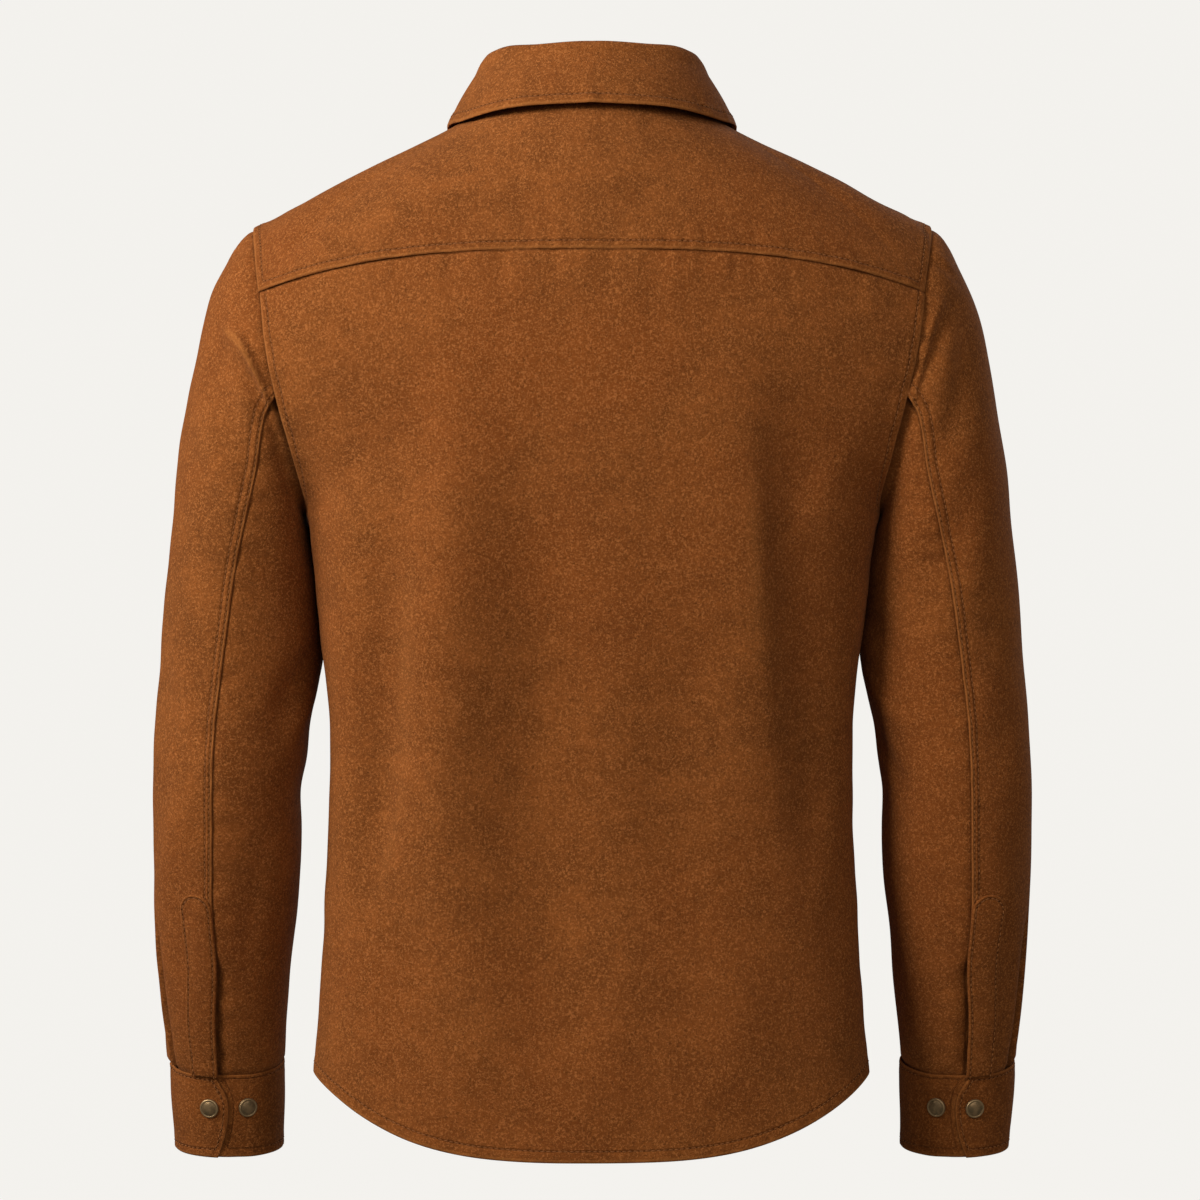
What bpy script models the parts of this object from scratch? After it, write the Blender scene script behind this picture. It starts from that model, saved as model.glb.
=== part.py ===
"""Suede shirt-jacket in its worn form, with no wearer: every cut panel is an open surface with a wall.

Metres, +Z up. The front faces -Y and the wearer's left is +X. The origin lies on the mid-plane, level with
the two neck points, where the collar seam crosses the shoulder line.
"""

import math
from collections import namedtuple

import bpy
import numpy as np
from mathutils import Vector

# Driving sizes.
SUEDE = 0.0016
DOUBLED_SUEDE = 0.0018
SEAM_GAP = 0.0003
ROUND_SEAM_GAP = 0.0005
LAYER_GAP = 0.0005

SHOULDER_SLOPE = math.radians(27.6)
NECK_HALF_WIDTH = 0.078
NECK_BACK_Y = 0.062
NECK_FRONT_Y = -0.080
NECK_BACK_HEIGHT = 0.006
NECK_SIDE_HEIGHT = -0.004
NECK_FRONT_HEIGHT = -0.070
BACK_YOKE_HEIGHT = -0.108
UNDERARM_HEIGHT = -0.285
BACK_HEM_HEIGHT = -0.723
FRONT_HEM_HEIGHT = -0.715
SIDE_HEM_HEIGHT = -0.671
YOKE_DROP_POWER = 3.0
HEM_DROP_POWER = 3.2
YOKE_TAKE_OFF = math.radians(5.0)
YOKE_FRONT_NORMAL = (0.42, -0.62, 0.66)
BODY_MIDDLE = (0.0, 0.0, -0.4)
YOKE_MIDDLE = (0.0, 0.0, -0.3)
COLLAR_MIDDLE = (0.0, 0.0, 0.0)
BAND_WIDTH = 0.038
STEP_UNDER = 0.012

# Angles round the armhole and round each sleeve section: 0 is the top or outer side, 90 the back and
# 180 the underarm.
FRONT_SEAM_ANGLE = 262.0
BACK_ARMHOLE_ANGLES = (59.0, 74.0, 88.0, 102.0, 121.5, 141.0, 160.5, 180.0)
UNDER_ARMHOLE_ANGLES = (102.0, 121.5, 141.0, 160.5, 180.0, 200.5, 221.0, 241.5, FRONT_SEAM_ANGLE)
TOP_ARMHOLE_COUNT = 6
YOKE_BACK_ANGLE = BACK_ARMHOLE_ANGLES[0]
YOKE_FRONT_ANGLE = (360.0 - FRONT_SEAM_ANGLE) / 3
YOKE_CREST_ANGLES = (39.0, 20.0)

# Grid counts.
HALF_BACK_COLUMNS = 11
CROWDING = 1.35
NECKLINE_COLUMNS = 4
LOWER_ROWS = 12
YOKE_ROWS = 6
CUFF_COLUMNS = 26
COLLAR_COLUMNS = 28

# Body sections by height. Above the underarm the half width follows from the armhole.
BodyRing = namedtuple("BodyRing", "height half_width side_y back_y front_y fullness")
BODY_RINGS = (
    BodyRing(-0.020, 0.230, 0.010, 0.090, -0.080, 2.0),
    BodyRing(-0.108, 0.222, 0.014, 0.118, -0.103, 2.0),
    BodyRing(-0.160, 0.214, 0.018, 0.126, -0.117, 2.1),
    BodyRing(-0.220, 0.206, 0.020, 0.130, -0.127, 2.2),
    BodyRing(-0.285, 0.198, 0.022, 0.129, -0.130, 2.4),
    BodyRing(-0.320, 0.1935, 0.025, 0.127, -0.129, 2.4),
    BodyRing(-0.350, 0.190, 0.028, 0.124, -0.127, 2.4),
    BodyRing(-0.414, 0.182, 0.030, 0.117, -0.121, 2.4),
    BodyRing(-0.470, 0.181, 0.030, 0.114, -0.118, 2.4),
    BodyRing(-0.530, 0.183, 0.030, 0.113, -0.116, 2.4),
    BodyRing(-0.620, 0.188, 0.029, 0.116, -0.117, 2.4),
    BodyRing(-0.671, 0.192, 0.028, 0.119, -0.118, 2.4),
    BodyRing(-0.730, 0.194, 0.028, 0.121, -0.119, 2.4),
)

# A sleeve section runs from its outer point to its inner point; it is an oval of the given half depth.
SleeveRing = namedtuple("SleeveRing", "step out_x out_y out_z in_x in_y in_z half_depth back_seam")
SLEEVE_RINGS = (
    SleeveRing(0, 0.2365, 0.000, -0.0850, 0.1980, 0.022, -0.2850, 0.0660, 102.0),
    SleeveRing(1, 0.2460, 0.000, -0.0925, 0.1992, 0.018, -0.2858, 0.0675, 103.0),
    SleeveRing(2, 0.2540, 0.000, -0.1070, 0.2000, 0.014, -0.2875, 0.0690, 103.0),
    SleeveRing(3, 0.2670, 0.000, -0.1340, 0.2000, 0.010, -0.2910, 0.0708, 104.0),
    SleeveRing(4, 0.2772, 0.000, -0.1760, 0.1990, 0.005, -0.2980, 0.0722, 103.0),
    SleeveRing(5, 0.2849, 0.000, -0.2180, 0.1966, 0.000, -0.3110, 0.0727, 99.0),
    SleeveRing(6, 0.2905, -0.002, -0.2600, 0.1933, -0.003, -0.3300, 0.0725, 93.0),
    SleeveRing(7, 0.2950, -0.004, -0.3020, 0.1908, -0.005, -0.3530, 0.0710, 88.0),
    SleeveRing(8, 0.2996, -0.006, -0.3460, 0.1885, -0.006, -0.3800, 0.0685, 84.0),
    SleeveRing(9, 0.3026, -0.006, -0.3900, 0.1925, -0.006, -0.4080, 0.0655, 82.5),
    SleeveRing(10, 0.3055, -0.004, -0.4300, 0.1968, -0.004, -0.4380, 0.0630, 82.0),
    SleeveRing(11, 0.3074, -0.003, -0.4700, 0.1996, -0.003, -0.4720, 0.0610, 82.5),
    SleeveRing(12, 0.3077, -0.006, -0.5100, 0.2030, -0.006, -0.5100, 0.0580, 83.5),
    SleeveRing(13, 0.3073, -0.012, -0.5500, 0.2062, -0.012, -0.5500, 0.0545, 84.0),
    SleeveRing(14, 0.3062, -0.020, -0.5900, 0.2104, -0.020, -0.5900, 0.0500, 88.0),
    SleeveRing(15, 0.3040, -0.029, -0.6300, 0.2141, -0.029, -0.6300, 0.0450, 86.0),
    SleeveRing(16, 0.2998, -0.038, -0.6700, 0.2178, -0.038, -0.6700, 0.0405, 86.0),
    SleeveRing(17, 0.2990, -0.042, -0.6960, 0.2182, -0.042, -0.6960, 0.0395, 86.0),
    SleeveRing(18, 0.2962, -0.046, -0.7300, 0.2190, -0.046, -0.7300, 0.0385, 86.0),
)
CUFF_TOP_STEP = 16.0
CUFF_BOTTOM_STEP = 18.0

# How the armhole's seam line departs from a plain oval, by the angle round it.
ArmholeMark = namedtuple("ArmholeMark", "angle shift_x shift_y")
ARMHOLE_MARKS = (
    ArmholeMark(0, 0.0000, 0.000),
    ArmholeMark(30, 0.0005, 0.000),
    ArmholeMark(59, 0.0012, 0.000),
    ArmholeMark(90, 0.0030, 0.001),
    ArmholeMark(120, 0.0005, -0.001),
    ArmholeMark(150, -0.0020, -0.006),
    ArmholeMark(168, -0.0008, -0.004),
    ArmholeMark(180, 0.0000, 0.000),
    ArmholeMark(192, -0.0008, 0.004),
    ArmholeMark(210, -0.0020, 0.008),
    ArmholeMark(240, 0.0000, 0.008),
    ArmholeMark(270, 0.0015, 0.004),
    ArmholeMark(301, 0.0012, 0.001),
    ArmholeMark(330, 0.0005, 0.000),
    ArmholeMark(360, 0.0000, 0.000),
)
ARMHOLE_REACH = 5.0

# Soft folds of the body, each along a straight line on the panel: a negative depth is a trough.
Fold = namedtuple("Fold", "top_x top_z bottom_x bottom_z half_width depth")
BACK_FOLDS = (
    Fold(0.058, -0.170, 0.064, -0.640, 0.034, -0.0075),
    Fold(0.118, -0.240, 0.142, -0.560, 0.024, 0.0050),
    Fold(-0.128, -0.190, -0.172, -0.560, 0.026, -0.0085),
    Fold(-0.088, -0.180, -0.108, -0.520, 0.026, 0.0055),
    Fold(0.150, -0.360, 0.172, -0.560, 0.020, -0.0045),
    Fold(-0.030, -0.380, -0.062, -0.660, 0.034, -0.0035),
)
FOLDS_END = 0.190
FRONT_FOLDS = (
    Fold(0.098, -0.190, 0.112, -0.600, 0.028, -0.0065),
    Fold(0.142, -0.260, 0.150, -0.560, 0.022, 0.0045),
    Fold(-0.085, -0.230, -0.104, -0.640, 0.030, -0.0060),
    Fold(-0.150, -0.220, -0.146, -0.500, 0.024, 0.0045),
)

# Creases of a sleeve: each crosses from one angle to another at a step of the sleeve's table.
Crease = namedtuple("Crease", "angle step half_angle half_steps slant depth")
SLEEVE_CREASES = (
    Crease(60.0, 3.6, 30.0, 0.8, 0.020, -0.0040),
    Crease(96.0, 6.6, 30.0, 0.9, 0.015, -0.0035),
    Crease(250.0, 10.2, 60.0, 0.7, 0.006, -0.0055),
    Crease(170.0, 11.2, 50.0, 0.6, -0.004, -0.0040),
    Crease(262.0, 12.6, 45.0, 0.6, -0.008, -0.0040),
)
PLEAT_ANGLE = 26.0
PLEAT_HALF_ANGLE = 8.0
PLEAT_DEPTH = -0.0035
PLEAT_TOP_STEP = 13.2

# The collar's fall: its lower edge by the angle round the neck, 0 at the back and 180 at the front.
FallEdge = namedtuple("FallEdge", "angle x y z")
FALL_EDGE = (
    FallEdge(0.0, 0.000, 0.0880, -0.0060),
    FallEdge(35.0, 0.0560, 0.0760, -0.0085),
    FallEdge(65.0, 0.0892, 0.0420, -0.0105),
    FallEdge(90.0, 0.0998, 0.0020, -0.0105),
    FallEdge(115.0, 0.0985, -0.0320, -0.0215),
    FallEdge(140.0, 0.0890, -0.0540, -0.0440),
    FallEdge(160.0, 0.0720, -0.0760, -0.0730),
    FallEdge(172.0, 0.0560, -0.0930, -0.0960),
)
# How wide the collar stand is, by the angle round the neck.
StandWidth = namedtuple("StandWidth", "angle width")
STAND_WIDTHS = (
    StandWidth(0.0, 0.0315),
    StandWidth(30.0, 0.0325),
    StandWidth(54.0, 0.0342),
    StandWidth(75.0, 0.0325),
    StandWidth(95.0, 0.0285),
    StandWidth(120.0, 0.0275),
    StandWidth(180.0, 0.0270),
)
STAND_LEAN = 0.0075
STAND_STEP_ANGLE = 11.0
STAND_BULGE = 0.001
ROLL_REACH = 0.0055
# The roll over the stand's top: how far each of its lines stands up and out from the stand.
RollLine = namedtuple("RollLine", "up out")
ROLL_LINES = (
    RollLine(0.0, 0.0),
    RollLine(0.0030, 0.0006),
    RollLine(0.0042, 0.0028),
    RollLine(0.0016, ROLL_REACH),
)
FALL_SHARES = (0.22, 0.45, 0.68, 0.86, 1.0)

# The cuff: its tab ends at this angle with rounded corners, and its other end lies under the tab.
CUFF_TAB_ANGLE = 96.0
CUFF_TAB_ROUND = 14.0
CUFF_UNDERLAP = 44.0
CUFF_STEP_START = 5.0
CUFF_STEP_ANGLE = 22.0
PLACKET_ANGLE = 28.0
SLEEVE_EDGE_ANGLE = 3.0
PLACKET_TOP_STEP = 13.0
PLACKET_CORNER = 0.35
SNAP_RADIUS = 0.0068
SNAP_THICKNESS = 0.0022
SNAP_BEVEL = 0.0006
SNAP_SEAT = 0.0009
CUFF_SNAP_ANGLES = (75.0, 116.0)
FRONT_SNAP_HEIGHTS = (-0.135, -0.235, -0.335, -0.435, -0.535, -0.625)

SUEDE_COLOUR = (0.215, 0.063, 0.017, 1.0)
CUFF_COLOUR = (0.200, 0.060, 0.016, 1.0)
BRASS_COLOUR = (0.145, 0.092, 0.040, 1.0)


def clear_scene():
    for item in list(bpy.data.objects):
        bpy.data.objects.remove(item, do_unlink=True)


def surface_material(name, colour, roughness, metallic):
    material = bpy.data.materials.new(name)
    material.use_nodes = True
    shader = material.node_tree.nodes["Principled BSDF"]
    shader.inputs["Base Color"].default_value = colour
    shader.inputs["Roughness"].default_value = roughness
    shader.inputs["Metallic"].default_value = metallic
    return material


def read(table, column, at):
    """A column of a table at any place along its first column, by a smooth curve through the rows."""
    rows = sorted(table, key=lambda row: row[0])
    places = np.array([row[0] for row in rows], float)
    values = np.array([getattr(row, column) for row in rows], float)
    slopes = np.gradient(values, places)
    at = np.clip(np.asarray(at, float), places[0], places[-1])
    low = np.clip(np.searchsorted(places, at, side="right") - 1, 0, len(places) - 2)
    span = places[low + 1] - places[low]
    s = (at - places[low]) / span
    start = (1 + 2 * s) * (1 - s) ** 2 * values[low] + s * (1 - s) ** 2 * span * slopes[low]
    end = s * s * (3 - 2 * s) * values[low + 1] - s * s * (1 - s) * span * slopes[low + 1]
    return start + end


def ease(x):
    """0 below 0, 1 above 1, and a smooth rise between."""
    x = np.clip(x, 0.0, 1.0)
    return x * x * (3 - 2 * x)


def unit(v):
    return v / np.maximum(np.linalg.norm(v, axis=-1, keepdims=True), 1e-12)


def along(points, fractions):
    """Points at fractions of a polyline's length."""
    lengths = np.concatenate([[0.0], np.cumsum(np.linalg.norm(np.diff(points, axis=0), axis=1))])
    places = np.clip(fractions, 0.0, 1.0) * lengths[-1]
    return np.stack([np.interp(places, lengths, points[:, k]) for k in range(3)], axis=-1)


def crowded(count):
    """Fractions from 0 to 1 that lie closer together towards 1, where the body turns to its side."""
    return 1 - (1 - np.linspace(0.0, 1.0, count + 1)) ** CROWDING


def hermite(start, start_pull, end, end_pull, s):
    return (
        (1 + 2 * s) * (1 - s) ** 2 * start
        + s * (1 - s) ** 2 * start_pull
        + s * s * (3 - 2 * s) * end
        - s * s * (1 - s) * end_pull
    )


def sleeve_point(step, angle):
    """A point of the left sleeve's surface, before its creases. Step 0 is the armhole."""
    turn = np.radians(angle)
    out = np.stack([read(SLEEVE_RINGS, f"out_{k}", step) for k in "xyz"], axis=-1)
    inner = np.stack([read(SLEEVE_RINGS, f"in_{k}", step) for k in "xyz"], axis=-1)
    middle, half = (out + inner) / 2, (out - inner) / 2
    depth = read(SLEEVE_RINGS, "half_depth", step)
    before, after = np.asarray(step) - 0.5, np.asarray(step) + 0.5
    later = read(SLEEVE_RINGS, "out_y", after) - read(SLEEVE_RINGS, "out_y", before)
    fall = read(SLEEVE_RINGS, "out_z", after) - read(SLEEVE_RINGS, "out_z", before)
    pitch = np.where(np.asarray(step) > 9, np.clip(later / fall, 0.0, 0.2), 0.0)
    cos, sin = np.cos(turn), np.sin(turn)
    near = 1 - ease(np.asarray(step) / ARMHOLE_REACH)
    around = np.asarray(angle) % 360.0
    point = np.array(middle + np.expand_dims(cos, -1) * half, float)
    point[..., 0] += near * read(ARMHOLE_MARKS, "shift_x", around)
    point[..., 1] += near * read(ARMHOLE_MARKS, "shift_y", around) + depth * sin
    point[..., 2] -= pitch * depth * sin
    return point


def armhole_point(angle):
    return sleeve_point(0.0, angle)


def body_row(level, back, count=80):
    """One row of half the body, from the centre line to the armhole or side seam.

    Level 0 is the yoke seam at the armhole, 1 the underarm and 2 the hem.
    """
    first = YOKE_BACK_ANGLE if back else YOKE_FRONT_ANGLE
    column = "back_y" if back else "front_y"
    top = BACK_YOKE_HEIGHT if back else NECK_FRONT_HEIGHT
    hem = BACK_HEM_HEIGHT if back else FRONT_HEM_HEIGHT
    if level <= 1:
        angle = first + (180.0 - first) * level
        side = armhole_point(angle if back else 360.0 - angle)
        centre = top + (UNDERARM_HEIGHT - top) * level
        power = YOKE_DROP_POWER
    else:
        height = UNDERARM_HEIGHT + (SIDE_HEM_HEIGHT - UNDERARM_HEIGHT) * (level - 1)
        side = np.array([read(BODY_RINGS, "half_width", height), read(BODY_RINGS, "side_y", height), height])
        centre = UNDERARM_HEIGHT + (hem - UNDERARM_HEIGHT) * (level - 1)
        power = HEM_DROP_POWER
    y_side = read(BODY_RINGS, "side_y", side[2])
    reach = read(BODY_RINGS, column, side[2]) - y_side
    full = read(BODY_RINGS, "fullness", side[2])
    aside = max((side[1] - y_side) / reach, 0.0)
    width = side[0] / (1 - aside**full) ** (1 / full)
    x = side[0] * np.sin(np.linspace(0.0, math.pi / 2, count))
    z = centre + (side[2] - centre) * (x / side[0]) ** power
    y_side = read(BODY_RINGS, "side_y", z)
    full = read(BODY_RINGS, "fullness", z)
    bulge = np.maximum(1 - (x / width) ** full, 0.0) ** (1 / full)
    y = y_side + (read(BODY_RINGS, column, z) - y_side) * bulge
    y += (side[1] - y[-1]) * (x / side[0]) ** 4
    return np.stack([x, y, z], axis=-1)


def body_point(level, across, back):
    """Across runs from -1 at the wearer's right side through 0 at the centre to 1 at the left."""
    across = np.atleast_1d(across)
    points = along(body_row(level, back), np.abs(across))
    points[:, 0] *= np.sign(across)
    return points


BAND_NECK_ANGLE = 180.0 - math.degrees(math.asin(BAND_WIDTH / 2 / NECK_HALF_WIDTH))


def neck_point(angle):
    """The collar seam: 0 at the centre back, 90 at the neck point and 180 at the centre front.

    It runs straight over each half of the front band.
    """
    share = np.maximum((np.abs(angle) - BAND_NECK_ANGLE) / (180.0 - BAND_NECK_ANGLE), 0.0)
    share = np.expand_dims(share, -1)
    edge = neck_curve(np.clip(angle, -BAND_NECK_ANGLE, BAND_NECK_ANGLE))
    return edge * (1 - share) + neck_curve(180.0) * share


def neck_curve(angle):
    turn = np.radians(np.abs(angle))
    cos = np.cos(turn)
    x = NECK_HALF_WIDTH * np.sin(turn) * np.sign(angle)
    y = np.where(cos > 0, NECK_BACK_Y * cos, -NECK_FRONT_Y * cos)
    end = np.where(cos > 0, NECK_BACK_HEIGHT, NECK_FRONT_HEIGHT)
    z = NECK_SIDE_HEIGHT + (end - NECK_SIDE_HEIGHT) * np.abs(cos) ** 1.6
    return np.stack([x, y, z], axis=-1)


YokePlace = namedtuple("YokePlace", "across neck_angle edge_angle")
YOKE_PLACES = (
    YokePlace(0.00, 0.0, 0.0),
    YokePlace(0.66, 62.0, YOKE_BACK_ANGLE),
    YokePlace(0.88, 90.0, 0.0),
    YokePlace(1.00, 110.0, -YOKE_FRONT_ANGLE),
)


def edge_frame(across):
    """The yoke's outer edge on the left half and the surface's outward normal there."""
    corner = YOKE_PLACES[1].across
    ridge = YOKE_PLACES[2].across
    crown = np.array([math.sin(SHOULDER_SLOPE), 0.0, math.cos(SHOULDER_SLOPE)])
    if across <= corner:
        here = across / corner
        upper, lower = body_point(0.0, here, True)[0], body_point(0.06, here, True)[0]
        beside = body_point(0.0, max(here - 0.03, 0.0) if here > 0.5 else here + 0.03, True)[0]
        normal = unit(np.cross(lower - upper, beside - upper))
        normal = normal if normal[1] > 0 else -normal
        return upper, normal
    angle = np.interp(across, [p.across for p in YOKE_PLACES[1:]], [p.edge_angle for p in YOKE_PLACES[1:]])
    point = armhole_point(angle)
    if across <= ridge:
        share = ease((across - corner) / (ridge - corner))
        return point, unit(edge_frame(corner)[1] * (1 - share) + crown * share)
    share = ease((across - ridge) / (1 - ridge))
    forward = unit(np.array(YOKE_FRONT_NORMAL))
    return point, unit(crown * (1 - share) + forward * share)


def yoke_column(across, s):
    """A line of the yoke from the neck seam, s = 0, to its outer edge, s = 1."""
    side = 1.0 if across >= 0 else -1.0
    place = abs(across)
    angle = np.interp(place, [p.across for p in YOKE_PLACES], [p.neck_angle for p in YOKE_PLACES])
    start = neck_point(np.array(max(angle, 1e-6)))
    end, normal = edge_frame(place)
    chord = end - start
    reach = np.linalg.norm(chord)
    heading = unit(np.array([chord[0], chord[1], 0.0]))
    slope = SHOULDER_SLOPE + YOKE_TAKE_OFF
    start_pull = reach * (heading * math.cos(slope) - np.array([0.0, 0.0, math.sin(slope)]))
    flat = chord - normal * (chord @ normal)
    end_pull = unit(flat) * reach
    line = along(hermite(start, start_pull, end, end_pull, np.linspace(0.0, 1.0, 40)[:, None]), np.asarray(s))
    line[:, 0] *= side
    return line


def front_point(level, across):
    """The fronts' surface: its top edge is the neckline and then the yoke's front seam."""
    across = np.atleast_1d(across)
    points = body_point(level, across, False)
    if level >= 1:
        return points
    neckline = neck_point(np.linspace(180.0, YOKE_PLACES[-1].neck_angle, 24))
    seam = yoke_column(1.0, np.linspace(0.0, 1.0, 24))
    top = along(np.concatenate([neckline, seam[1:]]), np.abs(across))
    plain = along(body_row(0.0, False), np.abs(across))
    change = top - plain
    change[:, 0] *= np.sign(across)
    slow, quick = 1 - ease(level * 1.15), max(1 - level, 0.0) ** 2
    return points + change * np.array([slow, quick, slow])


def grid_normals(grid):
    """Unit normals at a grid's points, with no fixed side."""
    down = np.gradient(grid, axis=0)
    right = np.gradient(grid, axis=1)
    return unit(np.cross(down, right))


def outward(grid, middle):
    """The normals of a grid, turned away from a middle point, or from one for each row."""
    normals = grid_normals(grid)
    middle = np.asarray(middle, float)
    away = grid - (middle[:, None, :] if middle.ndim == 2 else middle)
    return normals if (normals * away).sum() > 0 else -normals


def fold_amount(folds, grid):
    """How far the folds lift or sink each point of a body grid."""
    amount = np.zeros(grid.shape[:2])
    for fold in folds:
        run = np.array([fold.bottom_x - fold.top_x, fold.bottom_z - fold.top_z])
        off = grid[..., [0, 2]] - np.array([fold.top_x, fold.top_z])
        share = (off @ run) / (run @ run)
        aside = (off[..., 0] * run[1] - off[..., 1] * run[0]) / np.linalg.norm(run)
        body = np.sin(math.pi * np.clip(share, 0.0, 1.0)) ** 1.4
        amount += fold.depth * body * np.exp(-((aside / fold.half_width) ** 2))
    return amount


def crease_amount(steps, angles):
    """How far the creases and the cuff's pleat sink each point of a sleeve grid."""
    amount = np.zeros(np.broadcast(steps, angles).shape)
    for crease in SLEEVE_CREASES:
        turn = (angles - crease.angle + 180.0) % 360.0 - 180.0
        off = (steps - crease.step - crease.slant * turn) / crease.half_steps
        amount += crease.depth * np.exp(-((turn / crease.half_angle) ** 2) - off * off)
    turn = (angles - PLEAT_ANGLE + 180.0) % 360.0 - 180.0
    rise = ease((steps - PLEAT_TOP_STEP) / (CUFF_TOP_STEP - PLEAT_TOP_STEP))
    amount += PLEAT_DEPTH * rise * np.exp(-((turn / PLEAT_HALF_ANGLE) ** 2))
    return amount


def inset(grid, top=0.0, bottom=0.0, left=0.0, right=0.0):
    """Draws the edges of a grid back along its own lines, to leave the seam's gap."""
    grid = grid.copy()
    if top:
        grid[0] += unit(grid[1] - grid[0]) * top
    if bottom:
        grid[-1] += unit(grid[-2] - grid[-1]) * bottom
    if left:
        grid[:, 0] += unit(grid[:, 1] - grid[:, 0]) * left
    if right:
        grid[:, -1] += unit(grid[:, -2] - grid[:, -1]) * right
    return grid


def panel(name, grid, middle, wall, material, collection):
    """A cut piece: an open surface through a grid of points, with its wall on the inner side."""
    rows, columns = grid.shape[:2]
    turned = (grid_normals(grid) * outward(grid, middle)).sum() < 0
    faces = []
    for r in range(rows - 1):
        for c in range(columns - 1):
            a = r * columns + c
            face = (a, a + columns, a + columns + 1, a + 1)
            faces.append(face[::-1] if turned else face)
    mesh = bpy.data.meshes.new(name)
    mesh.from_pydata([tuple(p) for p in grid.reshape(-1, 3)], [], faces)
    mesh.update()
    mesh.materials.append(material)
    mesh.shade_smooth()
    item = bpy.data.objects.new(name, mesh)
    collection.objects.link(item)
    shell = item.modifiers.new("wall", "SOLIDIFY")
    shell.thickness = wall
    shell.offset = -1.0
    return item


def lower_levels():
    return [1 + k / LOWER_ROWS for k in range(1, LOWER_ROWS + 1)]


def back_levels():
    first = YOKE_BACK_ANGLE
    return [(angle - first) / (180.0 - first) for angle in BACK_ARMHOLE_ANGLES] + lower_levels()


def front_levels():
    """Rows that meet the sleeve's lines at the armhole, then the rows to the hem."""
    step = (360.0 - FRONT_SEAM_ANGLE) / TOP_ARMHOLE_COUNT
    upper = [YOKE_FRONT_ANGLE + step * k for k in range(TOP_ARMHOLE_COUNT - 1)]
    under = [360.0 - angle for angle in reversed(UNDER_ARMHOLE_ANGLES) if 180.0 <= angle < FRONT_SEAM_ANGLE]
    first = YOKE_FRONT_ANGLE
    levels = [(angle - first) / (180.0 - first) for angle in upper + under]
    return [levels[0], levels[1] * 0.3, *levels[1:], *lower_levels()]


def back_grid():
    half = crowded(HALF_BACK_COLUMNS)
    across = np.concatenate([-half[:0:-1], half])
    grid = np.stack([body_point(level, across, True) for level in back_levels()])
    lift = fold_amount(BACK_FOLDS, grid) * (1 - np.abs(across) ** 6)
    return grid + outward(grid, BODY_MIDDLE) * lift[..., None]


def length(points):
    return float(np.linalg.norm(np.diff(points, axis=0), axis=1).sum())


def front_fractions():
    """Lines across half the front: some to the neckline, then one to each row of the yoke's front seam."""
    neckline = length(neck_point(np.linspace(180.0, YOKE_PLACES[-1].neck_angle, 24)))
    corner = neckline / (neckline + length(yoke_column(1.0, np.linspace(0.0, 1.0, 24))))
    inner = [corner * k / NECKLINE_COLUMNS for k in range(1, NECKLINE_COLUMNS)]
    return np.array([*inner, *(corner + (1 - corner) * crowded(YOKE_ROWS))])


def front_grid(low, high):
    """Rows of the fronts between two edges, each a distance from the centre in metres or None at the side."""
    lines = front_fractions()
    rows = []
    for level in front_levels():
        span = length(body_row(level, False))
        first = -1.0 if low is None else low / span
        last = 1.0 if high is None else high / span
        across = [first]
        if low is None:
            across += [-f for f in lines[-2::-1]]
        if high is None:
            across += list(lines[:-1])
        rows.append(front_point(level, np.array(across + [last])))
    return np.stack(rows)


def folded_front(grid):
    edge = np.clip(np.abs(grid[..., 0]) / FOLDS_END, 0.0, 1.0)
    lift = fold_amount(FRONT_FOLDS, grid) * (1 - edge**6)
    return grid + outward(grid, BODY_MIDDLE) * lift[..., None]


def band_grid():
    """The front band's rows: two columns between its edges."""
    edge = BAND_WIDTH / 2
    rows = []
    for level in front_levels():
        span = length(body_row(level, False))
        rows.append(front_point(level, np.array([-edge, 0.0, edge]) / span))
    return np.stack(rows)


def right_front_grid():
    """The right front runs on under the band, as far as the band's outer edge."""
    grid = front_grid(None, -BAND_WIDTH / 2)
    under = band_grid()[:, 1:]
    return np.concatenate([grid, under], axis=1)


def build_body(collection, suede):
    half, wide = SEAM_GAP / 2, ROUND_SEAM_GAP / 2
    middle = BODY_MIDDLE
    back = inset(back_grid(), top=half, left=wide, right=wide)
    panel("back_panel", back, middle, SUEDE, suede, collection)

    corner, ridge = YOKE_PLACES[1], YOKE_PLACES[2]
    cap = ridge.across - corner.across
    crest = [corner.across + cap * (1 - angle / YOKE_BACK_ANGLE) for angle in YOKE_CREST_ANGLES]
    forward = [ridge.across + (1 - ridge.across) * share for share in (0.5, 0.86, 1.0)]
    across = np.array([*(corner.across * crowded(HALF_BACK_COLUMNS)), *crest, ridge.across, *forward])
    across = np.concatenate([-across[:0:-1], across])
    yoke = np.stack([yoke_column(place, crowded(YOKE_ROWS)) for place in across], axis=1)
    yoke = inset(yoke, top=half, bottom=wide, left=wide, right=wide)
    panel("back_yoke", yoke, YOKE_MIDDLE, SUEDE, suede, collection)

    left = inset(folded_front(front_grid(BAND_WIDTH / 2, None)), top=wide, left=half, right=wide)
    panel("front_left", left, middle, SUEDE, suede, collection)

    right = folded_front(right_front_grid())
    under = ease((right[..., 0] + BAND_WIDTH / 2 + STEP_UNDER + 0.001) / STEP_UNDER)
    right -= outward(right, middle) * (under * (DOUBLED_SUEDE + LAYER_GAP))[..., None]
    right = inset(right, top=wide, left=wide)
    panel("front_right", right, middle, SUEDE, suede, collection)

    band = inset(folded_front(band_grid()), top=half, right=half)
    panel("front_band", band, middle, DOUBLED_SUEDE, suede, collection)
    return band


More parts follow.
